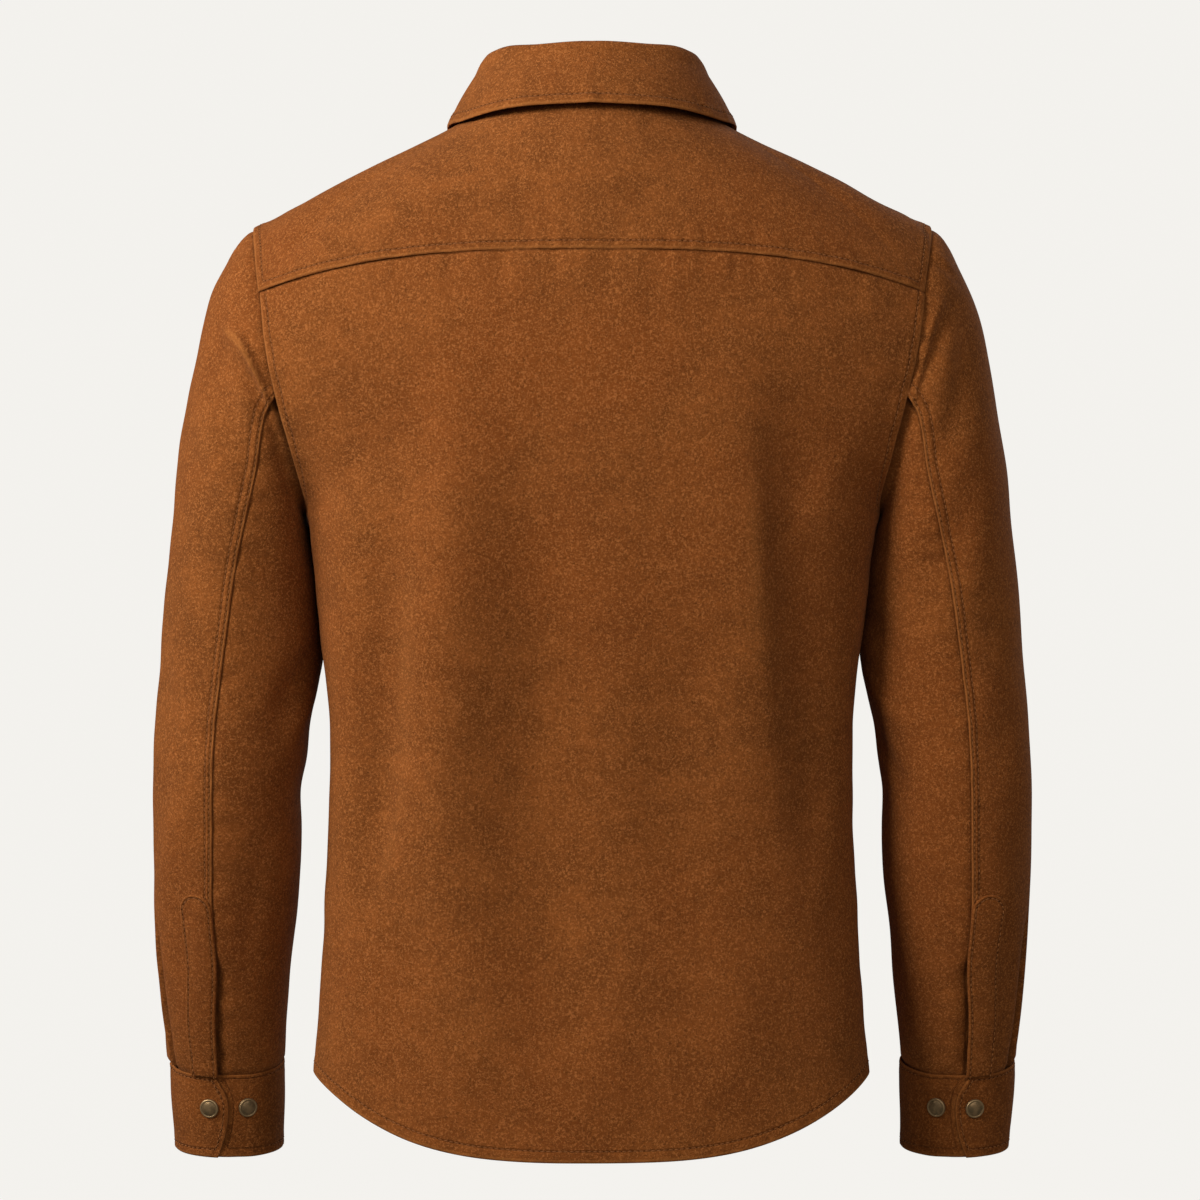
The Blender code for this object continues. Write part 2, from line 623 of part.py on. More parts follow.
def stand_lines(angle, inward):
    """The collar stand's foot and top at angles round the neck, moved in where it is the under layer."""
    foot = neck_point(angle)
    turn = np.radians(np.abs(angle))
    front = (1 - np.cos(turn)) / 2
    heading = unit(foot * np.array([1.0, 1.0, 0.0]))
    rise = read(STAND_WIDTHS, "width", np.abs(angle))
    lean = STAND_LEAN * (1 - 0.5 * front)
    top = foot + np.stack([-heading[:, 0] * lean, -heading[:, 1] * lean, rise], axis=-1)
    shift = heading * inward[:, None]
    return foot - shift, top - shift


def build_collar(collection, suede):
    middle = COLLAR_MIDDLE
    reach = 180.0 - BAND_NECK_ANGLE
    last = FALL_EDGE[-1].angle
    lap = [180.0, 180.0 + reach]
    round_neck = np.linspace(-last, last, COLLAR_COLUMNS + 1)
    angles = np.array([*(-a for a in reversed(lap)), *round_neck, *lap])
    angles = np.insert(angles, [3, len(angles) - 3], [-BAND_NECK_ANGLE, BAND_NECK_ANGLE])
    past_step = (-angles - 180.0 + reach + STAND_STEP_ANGLE) / STAND_STEP_ANGLE
    inward = (DOUBLED_SUEDE + LAYER_GAP) * ease(past_step)
    wrapped = (angles + 180.0) % 360.0 - 180.0
    foot, top = stand_lines(wrapped, inward)
    shares = np.linspace(0.0, 1.0, 4)[:, None, None]
    stand = foot[None] + (top - foot)[None] * shares
    bulge = np.sin(math.pi * shares) * STAND_BULGE
    stand = stand + outward(stand, middle) * bulge
    stand = inset(stand, top=ROUND_SEAM_GAP, bottom=ROUND_SEAM_GAP)
    panel("collar_stand", stand, middle, DOUBLED_SUEDE, suede, collection)

    angles = round_neck
    turn = np.abs(angles)
    foot, top = stand_lines(angles, np.zeros(len(angles)))
    heading = unit(foot * np.array([1.0, 1.0, 0.0]))
    edge = np.stack([read(FALL_EDGE, k, turn) for k in "xyz"], axis=-1)
    edge[:, 0] *= np.sign(angles)
    up = np.array([0.0, 0.0, 1.0])
    rows = [top + up * line.up + heading * line.out for line in ROLL_LINES]
    shoulder = rows[-1]
    for share in FALL_SHARES:
        rows.append(shoulder + (edge - shoulder) * share)
    fall = inset(np.stack(rows), top=ROUND_SEAM_GAP / 2)
    panel("collar_fall", fall, middle, SUEDE, suede, collection)


def snap(name, point, normal, brass, collection):
    """A cap snap: a low round cap with a soft rim, seated on the suede."""
    bpy.ops.mesh.primitive_cylinder_add(vertices=16, radius=SNAP_RADIUS, depth=SNAP_THICKNESS)
    item = bpy.context.object
    item.name = name
    item.data.name = name
    item.data.materials.append(brass)
    turn = Vector(normal).to_track_quat("Z", "Y")
    item.location = Vector(point) + turn @ Vector((0.0, 0.0, SNAP_SEAT + SNAP_THICKNESS / 2))
    item.rotation_euler = turn.to_euler()
    rim = item.modifiers.new("rim", "BEVEL")
    rim.width = SNAP_BEVEL
    rim.segments = 1
    for owner in list(item.users_collection):
        owner.objects.unlink(item)
    collection.objects.link(item)
    return item


def nearest_row(grid, column, height):
    """The point on one column of a grid at a height, and the row above it."""
    line = grid[:, column]
    place = np.interp(-height, -line[:, 2], np.arange(len(line)))
    low = min(int(place), len(line) - 2)
    share = place - low
    return line[low] * (1 - share) + line[low + 1] * share, low


def sleeve_steps():
    upper = np.linspace(0.0, 8.0, 11)
    lower = np.linspace(8.0, PLACKET_TOP_STEP, 8)[1:]
    placket = np.linspace(PLACKET_TOP_STEP, CUFF_TOP_STEP, 6)[1:]
    return np.concatenate([upper, lower, placket])


def back_seam(step):
    return float(read(SLEEVE_RINGS, "back_seam", step))


def top_sleeve_angles(step):
    """The top sleeve's lines: the placket's, three that close in on the pleat, then to the front seam."""
    seam = back_seam(step)
    placket = [seam, seam - SLEEVE_EDGE_ANGLE, seam - PLACKET_ANGLE / 2, seam - PLACKET_ANGLE]
    share = ease(step / PLEAT_TOP_STEP)
    crest = np.array([YOKE_BACK_ANGLE, *YOKE_CREST_ANGLES])
    pleat = PLEAT_ANGLE + PLEAT_HALF_ANGLE * np.array([1.2, 0.0, -1.2])
    rest = np.linspace(0.0, FRONT_SEAM_ANGLE - 360.0, TOP_ARMHOLE_COUNT + 1)
    rest = np.insert(rest, -1, rest[-1] + SLEEVE_EDGE_ANGLE)
    return np.concatenate([placket, crest * (1 - share) + pleat * share, rest])


def under_sleeve_angles(step):
    first = UNDER_ARMHOLE_ANGLES[0]
    lines = np.array(UNDER_ARMHOLE_ANGLES)
    beside_seams = [lines[0] + SLEEVE_EDGE_ANGLE, lines[-1] - SLEEVE_EDGE_ANGLE]
    lines = np.insert(lines, [1, len(lines) - 1], beside_seams)
    share = (FRONT_SEAM_ANGLE - lines) / (FRONT_SEAM_ANGLE - first)
    return FRONT_SEAM_ANGLE - share * (FRONT_SEAM_ANGLE - back_seam(step))


UNDER_SLEEVE_COLUMNS = len(UNDER_ARMHOLE_ANGLES) + 2


def sleeve_grid():
    """The whole sleeve from its back seam round to it again, the under sleeve's lines first."""
    steps = sleeve_steps()
    angles = np.stack([[*under_sleeve_angles(k), *(360.0 + top_sleeve_angles(k)[-2::-1])] for k in steps])
    grid = np.stack([sleeve_point(step, row) for step, row in zip(steps, angles)])
    centres = section_centres(steps)
    for column in (1, UNDER_SLEEVE_COLUMNS - 2, UNDER_SLEEVE_COLUMNS, grid.shape[1] - 2):
        before, here, after = angles[0, column - 1 : column + 2]
        share = (here - before) / (after - before)
        grid[0, column] = grid[0, column - 1] * (1 - share) + grid[0, column + 1] * share
    dents = crease_amount(steps[:, None], angles) * ease(steps / 2.5)[:, None]
    grid = grid + ring_normals(grid, centres) * dents[..., None]
    return grid, ring_normals(grid, centres), centres


def section_centres(steps):
    return np.stack([(sleeve_point(step, 0.0) + sleeve_point(step, 180.0)) / 2 for step in steps])


def ring_normals(grid, centres):
    """Normals of a grid whose last column is its first again."""
    wrapped = np.concatenate([grid[:, -2:-1], grid, grid[:, 1:2]], axis=1)
    return outward(wrapped, centres)[:, 1:-1]


def build_sleeve(side, name, collection, suede, cuff_suede, brass):
    mirror = np.array([side, 1.0, 1.0])
    half, wide = SEAM_GAP / 2, ROUND_SEAM_GAP / 2
    grid, normals, centres = sleeve_grid()
    seam = UNDER_SLEEVE_COLUMNS
    under = inset(grid[:, :seam], top=half, bottom=half, left=wide, right=wide)
    panel(f"under_sleeve_{name}", under * mirror, centres * mirror, SUEDE, suede, collection)
    top = inset(grid[:, seam - 1 :], top=half, bottom=half, left=wide, right=wide)
    panel(f"top_sleeve_{name}", top * mirror, centres * mirror, SUEDE, suede, collection)

    rows = sleeve_steps() >= PLACKET_TOP_STEP
    placket = (grid + normals * (SUEDE + LAYER_GAP))[rows][:, -4:]
    for corner in (0, 3):
        placket[0, corner] += (placket[1, corner] - placket[0, corner]) * PLACKET_CORNER
    placket = inset(placket, bottom=half)
    panel(f"placket_{name}", placket * mirror, centres[rows] * mirror, SUEDE, suede, collection)

    shares = np.linspace(0.0, 1.0, 5)
    steps = CUFF_TOP_STEP + shares * (CUFF_BOTTOM_STEP - CUFF_TOP_STEP)
    tab = 360.0 + CUFF_TAB_ANGLE - CUFF_TAB_ROUND * (2 * shares - 1) ** 2
    angles = np.linspace(CUFF_TAB_ANGLE - CUFF_UNDERLAP, tab, CUFF_COLUMNS + 1, axis=1)
    cuff = np.stack([sleeve_point(step, row) for step, row in zip(steps, angles)])
    middles = section_centres(steps)
    under_layer = 1 - ease((angles - CUFF_TAB_ANGLE - CUFF_STEP_START) / CUFF_STEP_ANGLE)
    normals = outward(cuff, middles)
    cuff = cuff - normals * (under_layer * (DOUBLED_SUEDE + LAYER_GAP))[..., None]
    cuff = inset(cuff, top=SEAM_GAP)
    panel(f"cuff_{name}", cuff * mirror, middles * mirror, DOUBLED_SUEDE, cuff_suede, collection)

    for label, angle in zip(("tab", "inner"), CUFF_SNAP_ANGLES):
        turn = angle + (360.0 if angle < CUFF_TAB_ANGLE else 0.0)
        place = np.interp(turn, angles[2], np.arange(CUFF_COLUMNS + 1))
        low = int(place)
        share = place - low
        point = cuff[2, low] * (1 - share) + cuff[2, low + 1] * share
        normal = normals[2, low] * (1 - share) + normals[2, low + 1] * share
        snap(f"cuff_snap_{name}_{label}", point * mirror, normal * mirror, brass, collection)


def build_front_snaps(band, brass, collection):
    normals = outward(band, BODY_MIDDLE)
    for number, height in enumerate(FRONT_SNAP_HEIGHTS, 1):
        point, row = nearest_row(band, 1, height)
        snap(f"front_snap_{number}", point, normals[row, 1], brass, collection)


def main():
    clear_scene()
    collection = bpy.data.collections.new("suede_jacket")
    bpy.context.scene.collection.children.link(collection)
    suede = surface_material("suede", SUEDE_COLOUR, 0.95, 0.0)
    cuff_suede = surface_material("cuff_suede", CUFF_COLOUR, 0.95, 0.0)
    brass = surface_material("aged_brass", BRASS_COLOUR, 0.42, 0.9)
    band = build_body(collection, suede)
    build_collar(collection, suede)
    build_front_snaps(band, brass, collection)
    for side, name in ((1.0, "left"), (-1.0, "right")):
        build_sleeve(side, name, collection, suede, cuff_suede, brass)


main()
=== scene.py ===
"""A suede shirt-jacket, filled out as worn: each panel is a shell on its packed form, with its stitches."""

import math
from collections import namedtuple

import bpy
import numpy as np
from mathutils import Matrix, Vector


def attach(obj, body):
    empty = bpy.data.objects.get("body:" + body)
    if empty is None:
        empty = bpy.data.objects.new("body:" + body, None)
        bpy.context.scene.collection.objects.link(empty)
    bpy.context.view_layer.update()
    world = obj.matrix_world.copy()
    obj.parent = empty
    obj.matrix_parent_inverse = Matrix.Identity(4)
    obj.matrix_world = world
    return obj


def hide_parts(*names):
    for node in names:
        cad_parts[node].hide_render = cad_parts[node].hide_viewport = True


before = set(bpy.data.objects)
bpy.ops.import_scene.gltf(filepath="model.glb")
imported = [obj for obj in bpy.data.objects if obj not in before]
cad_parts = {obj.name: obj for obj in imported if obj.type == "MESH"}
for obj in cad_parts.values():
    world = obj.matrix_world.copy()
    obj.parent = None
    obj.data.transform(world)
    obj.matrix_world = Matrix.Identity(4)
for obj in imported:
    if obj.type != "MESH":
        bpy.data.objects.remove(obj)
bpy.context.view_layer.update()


# ------------------------------------------------------------------------------------------------
# Back panel: one piece of napped suede, from the yoke seam down to the shirttail hem.
# Its top edge is sewn in under the yoke, its armholes lap over the sleeves, and its hem is turned up.

# The body block, by height: half width, where the side lies front to back, and how full the section is.
BodyRing = namedtuple("BodyRing", "height half_width side_y back_y front_y fullness")
BODY_RINGS = (
    BodyRing(-0.020, 0.230, 0.010, 0.090, -0.080, 2.0),
    BodyRing(-0.108, 0.222, 0.014, 0.118, -0.103, 2.0),
    BodyRing(-0.160, 0.214, 0.018, 0.126, -0.117, 2.1),
    BodyRing(-0.220, 0.206, 0.020, 0.130, -0.127, 2.2),
    BodyRing(-0.285, 0.198, 0.022, 0.129, -0.130, 2.4),
    BodyRing(-0.320, 0.1935, 0.025, 0.127, -0.129, 2.4),
    BodyRing(-0.350, 0.190, 0.028, 0.124, -0.127, 2.4),
    BodyRing(-0.414, 0.182, 0.030, 0.117, -0.121, 2.4),
    BodyRing(-0.470, 0.181, 0.030, 0.114, -0.118, 2.4),
    BodyRing(-0.530, 0.183, 0.030, 0.113, -0.116, 2.4),
    BodyRing(-0.620, 0.188, 0.029, 0.116, -0.117, 2.4),
    BodyRing(-0.671, 0.192, 0.028, 0.119, -0.118, 2.4),
    BodyRing(-0.730, 0.194, 0.028, 0.121, -0.119, 2.4),
)
BODY_MIDDLE = (0.0, 0.0, -0.4)
BACK_YOKE_HEIGHT = -0.108
UNDERARM_HEIGHT = -0.285
SIDE_HEM_HEIGHT = -0.671
BACK_HEM_HEIGHT = -0.723
YOKE_DROP_POWER = 3.0
HEM_DROP_POWER = 3.2

# The armhole: a slanted oval, 0 degrees at the shoulder point, 90 at the back and 180 at the underarm.
ARMHOLE_TOP = np.array([0.2365, 0.000, -0.0850])
ARMHOLE_UNDERARM = np.array([0.1980, 0.022, -0.2850])
ARMHOLE_HALF_DEPTH = 0.0660
YOKE_BACK_ANGLE = 59.0
ArmholeMark = namedtuple("ArmholeMark", "angle shift_x shift_y")
ARMHOLE_MARKS = (
    ArmholeMark(0, 0.0000, 0.000),
    ArmholeMark(30, 0.0005, 0.000),
    ArmholeMark(59, 0.0012, 0.000),
    ArmholeMark(90, 0.0030, 0.001),
    ArmholeMark(120, 0.0005, -0.001),
    ArmholeMark(150, -0.0020, -0.006),
    ArmholeMark(168, -0.0008, -0.004),
    ArmholeMark(180, 0.0000, 0.000),
    ArmholeMark(192, -0.0008, 0.004),
    ArmholeMark(210, -0.0020, 0.008),
    ArmholeMark(240, 0.0000, 0.008),
    ArmholeMark(270, 0.0015, 0.004),
    ArmholeMark(301, 0.0012, 0.001),
    ArmholeMark(330, 0.0005, 0.000),
    ArmholeMark(360, 0.0000, 0.000),
)

# A fold runs from a start to an end on its panel, bowed aside at its middle. Right and left are the widths of
# its flanks, and a negative depth is a trough. On the body, u is x and v is z.
Fold = namedtuple("Fold", "u v end_u end_v bow right left depth")
BACK_FOLDS = (
    Fold(0.038, -0.170, 0.032, -0.700, 0.000, 0.038, 0.032, -0.0100),
    Fold(0.094, -0.140, 0.106, -0.680, 0.002, 0.030, 0.019, 0.0090),
    Fold(0.137, -0.230, 0.142, -0.560, 0.000, 0.016, 0.016, -0.0052),
    Fold(0.165, -0.250, 0.172, -0.520, 0.000, 0.015, 0.018, 0.0026),
    Fold(-0.136, -0.150, -0.168, -0.620, -0.004, 0.026, 0.021, -0.0080),
    Fold(-0.098, -0.140, -0.136, -0.570, -0.010, 0.018, 0.036, 0.0056),
    Fold(-0.052, -0.320, -0.064, -0.640, 0.000, 0.030, 0.032, -0.0040),
)
BACK_CREASES = (
    Fold(-0.1085, -0.205, -0.1175, -0.430, 0.002, 0.007, 0.018, 0.0014),
    Fold(0.1700, -0.395, 0.1685, -0.570, -0.001, 0.010, 0.010, 0.0030),
    Fold(0.1435, -0.400, 0.1500, -0.570, 0.000, 0.012, 0.012, -0.0038),
    Fold(0.1180, -0.430, 0.1330, -0.580, 0.001, 0.016, 0.011, 0.0030),
    Fold(-0.1745, -0.450, -0.1440, -0.590, 0.003, 0.010, 0.011, 0.0026),
    Fold(0.1950, -0.225, 0.1180, -0.335, 0.005, 0.012, 0.016, 0.0018),
    Fold(-0.1900, -0.220, -0.1340, -0.330, -0.004, 0.014, 0.010, 0.0019),
    Fold(0.1130, -0.270, 0.1180, -0.500, 0.000, 0.012, 0.008, 0.0016),
    Fold(0.0060, -0.300, 0.0120, -0.470, -0.005, 0.030, 0.024, 0.0018),
    Fold(0.0950, -0.520, 0.0700, -0.690, 0.004, 0.022, 0.018, 0.0020),
    Fold(-0.0850, -0.560, -0.1100, -0.700, 0.003, 0.020, 0.024, 0.0022),
    Fold(-0.0150, -0.560, -0.0020, -0.700, 0.003, 0.018, 0.020, 0.0012),
)
# Crests that carry a painted highlight.
BACK_CRESTS = (
    Fold(0.1215, -0.285, 0.1300, -0.500, 0.000, 0.014, 0.014, 0.0010),
    Fold(-0.1040, -0.190, -0.1100, -0.430, 0.002, 0.010, 0.014, 0.0006),
    Fold(0.1240, -0.450, 0.1560, -0.580, 0.002, 0.008, 0.008, 0.0006),
)
# The strength of the painted highlight on the back's crests.
BACK_CREST_HIGHLIGHT = 0.65

SUEDE_THICKNESS = 0.0014
BACK_HALF_SPAN = 0.235
BACK_SPACING = 0.0028
LAP_ROW = 0.0060
HEM_ROW = 0.0080
# How far from a sewn edge the panel's lines lie, beside a lapped seam and beside a hem.
LAP_LINES = (0.0004, 0.0009, 0.0016, 0.0026, 0.0040, 0.0052, 0.0060, 0.0068, 0.0080, 0.0100)
HEM_LINES = (0.0004, 0.0009, 0.0016, 0.0032, 0.0052, 0.0071, 0.0080, 0.0089, 0.0110)
# An armhole's stitches end this many rows above the underarm.
ARMHOLE_BARE_ROWS = 12


def hermite(share, span, first, last, first_slope, last_slope):
    """A smooth curve from one value to another, at a share of the span between them."""
    start = (1 + 2 * share) * (1 - share) ** 2 * first + share * (1 - share) ** 2 * span * first_slope
    end = share * share * (3 - 2 * share) * last - share * share * (1 - share) * span * last_slope
    return start + end


def read(table, column, at):
    """A column of a table at any place along its first column, by a smooth curve through the rows."""
    rows = sorted(table, key=lambda row: row[0])
    places = np.array([row[0] for row in rows], float)
    values = np.array([getattr(row, column) for row in rows], float)
    slopes = np.gradient(values, places)
    at = np.clip(np.asarray(at, float), places[0], places[-1])
    low = np.clip(np.searchsorted(places, at, side="right") - 1, 0, len(places) - 2)
    span = places[low + 1] - places[low]
    return hermite((at - places[low]) / span, span, values[low], values[low + 1], slopes[low],
                   slopes[low + 1])


def ease(x):
    """0 below 0, 1 above 1, and a smooth rise between."""
    x = np.clip(x, 0.0, 1.0)
    return x * x * (3 - 2 * x)


def bell(x):
    return np.exp(-x * x)


def unit(v):
    return v / np.maximum(np.linalg.norm(v, axis=-1, keepdims=True), 1e-12)


def runs(points):
    """How far each point of a line lies from its start."""
    return np.concatenate([[0.0], np.cumsum(np.linalg.norm(np.diff(points, axis=0), axis=1))])


def along(points, fractions):
    """Points at fractions of a line's length."""
    run = runs(points)
    places = np.clip(fractions, 0.0, 1.0) * run[-1]
    return np.stack([np.interp(places, run, points[:, k]) for k in range(3)], axis=-1)


def armhole_point(angle):
    turn, around = np.radians(angle), np.asarray(angle) % 360.0
    middle, half = (ARMHOLE_TOP + ARMHOLE_UNDERARM) / 2, (ARMHOLE_TOP - ARMHOLE_UNDERARM) / 2
    point = middle + np.expand_dims(np.cos(turn), -1) * half
    point[..., 0] += read(ARMHOLE_MARKS, "shift_x", around)
    point[..., 1] += read(ARMHOLE_MARKS, "shift_y", around) + ARMHOLE_HALF_DEPTH * np.sin(turn)
    return point


def block_row(side, centre, column, power, count=110):
    """A row of half the body block, from the centre line out to a point of the armhole or side seam."""
    y_side = read(BODY_RINGS, "side_y", side[2])
    reach = read(BODY_RINGS, column, side[2]) - y_side
    full = read(BODY_RINGS, "fullness", side[2])
    aside = max((side[1] - y_side) / reach, 0.0)
    width = side[0] / (1 - aside**full) ** (1 / full)
    x = side[0] * np.sin(np.linspace(0.0, math.pi / 2, count))
    z = centre + (side[2] - centre) * (x / side[0]) ** power
    y_side = read(BODY_RINGS, "side_y", z)
    full = read(BODY_RINGS, "fullness", z)
    bulge = np.maximum(1 - (x / width) ** full, 0.0) ** (1 / full)
    y = y_side + (read(BODY_RINGS, column, z) - y_side) * bulge
    y += (side[1] - y[-1]) * (x / side[0]) ** 4
    return np.stack([x, y, z], axis=-1)


def side_point(level):
    """The side seam at a level from 1, the underarm, to 2, the hem."""
    height = UNDERARM_HEIGHT + (SIDE_HEM_HEIGHT - UNDERARM_HEIGHT) * (level - 1)
    return np.array([read(BODY_RINGS, "half_width", height), read(BODY_RINGS, "side_y", height), height])


def back_row(level):
    """Level 0 is the yoke seam at the armhole, 1 the underarm and 2 the hem."""
    if level <= 1:
        side = armhole_point(YOKE_BACK_ANGLE + (180.0 - YOKE_BACK_ANGLE) * level)
        centre = BACK_YOKE_HEIGHT + (UNDERARM_HEIGHT - BACK_YOKE_HEIGHT) * level
        return block_row(side, centre, "back_y", YOKE_DROP_POWER)
    centre = UNDERARM_HEIGHT + (BACK_HEM_HEIGHT - UNDERARM_HEIGHT) * (level - 1)
    return block_row(side_point(level), centre, "back_y", HEM_DROP_POWER)


def across_body(half_row, across):
    """Points over both halves of the body, at places from -1 at the wearer's right to 1 at the left."""
    points = along(half_row, np.abs(across))
    points[:, 0] *= np.sign(across)
    return points


def panel_lines(span, first, last, spacing):
    """Where a panel's lines lie over a span, from 0 to 1: close together beside its sewn edges."""
    start, end = [0.0, *first], [span - d for d in last[::-1]] + [span]
    count = max(int(round((end[0] - start[-1]) / spacing)), 1)
    return np.concatenate([start, np.linspace(start[-1], end[0], count + 1)[1:-1], end]) / span


def body_levels(upper, lower, spacing):
    """The rows' levels down the body: 0 to 1 over the part above the underarm, 1 to 2 below it."""
    places = panel_lines(upper + lower, LAP_LINES, HEM_LINES, spacing) * (upper + lower)
    underarm = int(np.argmin(np.abs(places - upper)))
    places[underarm] = upper
    return np.where(places <= upper, places / upper, 1 + (places - upper) / lower), underarm


def outward(grid, middle):
    """The unit normals of a grid, turned away from a middle point, or from one for each row."""
    normals = unit(np.cross(np.gradient(grid, axis=0), np.gradient(grid, axis=1)))
    middle = np.asarray(middle, float)
    away = grid - (middle[:, None, :] if middle.ndim == 2 else middle)
    return normals if (normals * away).sum() > 0 else -normals


def edge_distance(grid, line):
    """How far each point of a grid lies from a line of points."""
    step = np.diff(line, axis=0)
    span = np.maximum((step * step).sum(axis=1), 1e-12)
    rows = []
    for row in grid:
        off = row[:, None] - line[:-1]
        share = np.clip((off * step).sum(axis=2) / span, 0.0, 1.0)
        rows.append(np.linalg.norm(off - share[..., None] * step, axis=2).min(axis=1))
    return np.array(rows)


# A line sewn on a piece: its points, and which way the cloth faces at each.
SewnLine = namedtuple("SewnLine", "points facing")


class Cloth:
    """A cut piece: a grid of points, its outward normals, how proud it stands, where it is sewn, and where
    highlight and shade are painted on it.
    """

    # A lapped edge is rounded over, and a pale highlight is painted along its lip.
    EDGE_ROUND, EDGE_DEPTH = 0.0014, 0.0010
    LIP_PLACE, LIP_WIDTH, LIP_RUB = 0.0011, 0.0012, 1.5
    # The layer beneath dips as far as this, and is shaded close to the edge.
    UNDER_REACH, SHADE_REACH = 0.0040, 0.0022
    # A plain seam has a sharp groove and a soft one, and is shaded in the first.
    GROOVE_DEPTH, GROOVE_WIDTH, GROOVE_SHADE, SHADE_WIDTH = 0.0011, 0.0013, 0.8, 0.0012
    HOLLOW_DEPTH, HOLLOW_WIDTH = 0.0004, 0.007
    # A line of stitches draws the cloth in.
    DENT_DEPTH, DENT_WIDTH = 0.00035, 0.0012

    def __init__(self, grid, middle):
        self.grid = grid
        self.flat = self.cut()
        self.out = outward(grid, middle)
        self.height = np.zeros(grid.shape[:2])
        self.painted_light_and_shade = np.zeros(grid.shape[:2])
        self.sewn = []
        self.lines = []

    def edge(self, side, first=0, last=None):
        """Distances from one edge, or from the part of it between two of its points."""
        grid = self.grid
        line = {"first": grid[:, 0], "last": grid[:, -1], "top": grid[0], "foot": grid[-1]}
        return edge_distance(grid, line[side][first:last])

    def edges(self, *sides):
        """Distances from the nearest of some edges."""
        return np.min([self.edge(side) for side in sides], axis=0)

    def lap(self, edge, row=LAP_ROW, rise=0.0008, beyond=0.006):
        """The upper layer of a lapped seam: proud as far as its stitches, dented there, its edge rounded."""
        self.height += rise * (1 - ease((edge - row) / beyond))
        self.height -= self.EDGE_DEPTH * np.clip(1 - edge / self.EDGE_ROUND, 0.0, 1.0) ** 2
        # Painted highlight along the rounded lip.
        self.painted_light_and_shade += self.LIP_RUB * bell((edge - self.LIP_PLACE) / self.LIP_WIDTH)
        self.dent(edge, row)

    def under(self, edge, drop=0.0009):
        """The lower layer of a lapped seam dips under the upper one."""
        self.height -= drop * (1 - ease(edge / self.UNDER_REACH))
        # Painted shade beside the edge of the layer over it.
        self.painted_light_and_shade -= 1 - ease(edge / self.SHADE_REACH)

    def join(self, edge):
        """A plain seam: both pieces turn in along it."""
        groove = self.GROOVE_DEPTH * bell(edge / self.GROOVE_WIDTH)
        self.height -= groove + self.HOLLOW_DEPTH * bell(edge / self.HOLLOW_WIDTH)
        # Painted shade in the seam's groove.
        self.painted_light_and_shade -= self.GROOVE_SHADE * bell(edge / self.SHADE_WIDTH)

    def turn_up(self, edge):
        """A hem: double as far as its stitching, with a soft folded edge."""
        self.lap(edge, HEM_ROW, rise=0.0005, beyond=0.004)

    def calm(self, edge, share, reach):
        """Its folds die out beside a sewn edge."""
        self.height *= 1 - share * bell(edge / reach)

    def dent(self, edge, row):
        self.height -= self.DENT_DEPTH * bell((edge - row) / self.DENT_WIDTH)

    def pucker(self, edge, run, seed, high=0.00035, reach=0.014, wavelength=0.020):
        """Small drawn ripples that cross a stitched seam and die out beside it."""
        random = np.random.default_rng(seed)
        waves = wavelength * random.uniform(0.5, 1.9, 7)
        shifts = random.uniform(0.0, 2 * math.pi, 7)
        ripple = sum(np.sin(2 * math.pi * run / w + shift) for w, shift in zip(waves, shifts)) / 2.6
        self.height += high * ripple * bell(np.maximum(edge - 0.005, 0.0) / reach) * ease(edge / 0.0015)

    def swell(self, wavelength, high, seed):
        """The soft unevenness of limp suede."""
        random = np.random.default_rng(seed)
        total = np.zeros(self.grid.shape[:2])
        for _ in range(12):
            wave = unit(random.normal(size=3)) * 2 * math.pi / (wavelength * random.uniform(0.7, 1.7))
            total += np.sin(self.grid @ wave + random.uniform(0.0, 2 * math.pi))
        self.height += high * total / 3.5

    def fold(self, folds, u, v, strength=1.0, worn=0.0):
        """Folds and creases, on two coordinates of the piece, and how strong a painted highlight their crests
        carry.
        """
        for fold in folds:
            run = np.array([fold.end_u - fold.u, fold.end_v - fold.v])
            span = float(np.hypot(*run))
            off_u, off_v = u - fold.u, v - fold.v
            share = np.clip((off_u * run[0] + off_v * run[1]) / span**2, 0.0, 1.0)
            aside = (off_u * run[1] - off_v * run[0]) / span - fold.bow * 4 * share * (1 - share)
            width = np.where(aside > 0, fold.right, fold.left)
            reach = np.sin(math.pi * share) ** 1.3
            self.height += strength * fold.depth * reach * bell(aside / width)
            # A painted highlight along the crest.
            self.painted_light_and_shade += strength * worn * reach * bell(aside / (0.7 * width))

    def points(self):
        return self.grid + self.out * self.height[..., None]

    def sew(self, edge, row, side, first=0.0, last=1.0):
        """Sews a line of stitches at a distance from an edge, over part of it."""
        self.sewn.append(edge - row)
        points, facing = self.points(), self.out
        if side in ("top", "foot"):
            edge, points, facing = edge.T, points.transpose(1, 0, 2), facing.transpose(1, 0, 2)
        if side in ("last", "foot"):
            edge, points, facing = edge[:, ::-1], points[:, ::-1], facing[:, ::-1]
        found = []
        end = len(edge) - 1
        for k in range(int(round(first * end)), int(round(last * end)) + 1):
            beyond = int(np.argmax(edge[k] >= row))
            if beyond == 0:
                continue
            share = (row - edge[k, beyond - 1]) / (edge[k, beyond] - edge[k, beyond - 1])
            point = points[k, beyond - 1] * (1 - share) + points[k, beyond] * share
            found.append((point, facing[k, beyond]))
        self.lines.append(SewnLine(np.array([p for p, _ in found]), np.array([n for _, n in found])))

    def cut(self):
        """The flat piece's width and length, and its area."""
        width = np.linalg.norm(np.diff(self.grid, axis=1), axis=2).sum(axis=1).max()
        length = np.linalg.norm(np.diff(self.grid, axis=0), axis=2).sum(axis=0).max()
        down = self.grid[1:, :-1] - self.grid[:-1, :-1]
        over = self.grid[:-1, 1:] - self.grid[:-1, :-1]
        area = float(np.linalg.norm(np.cross(down, over), axis=2).sum())
        return (float(width), float(length)), min(area, float(width * length))


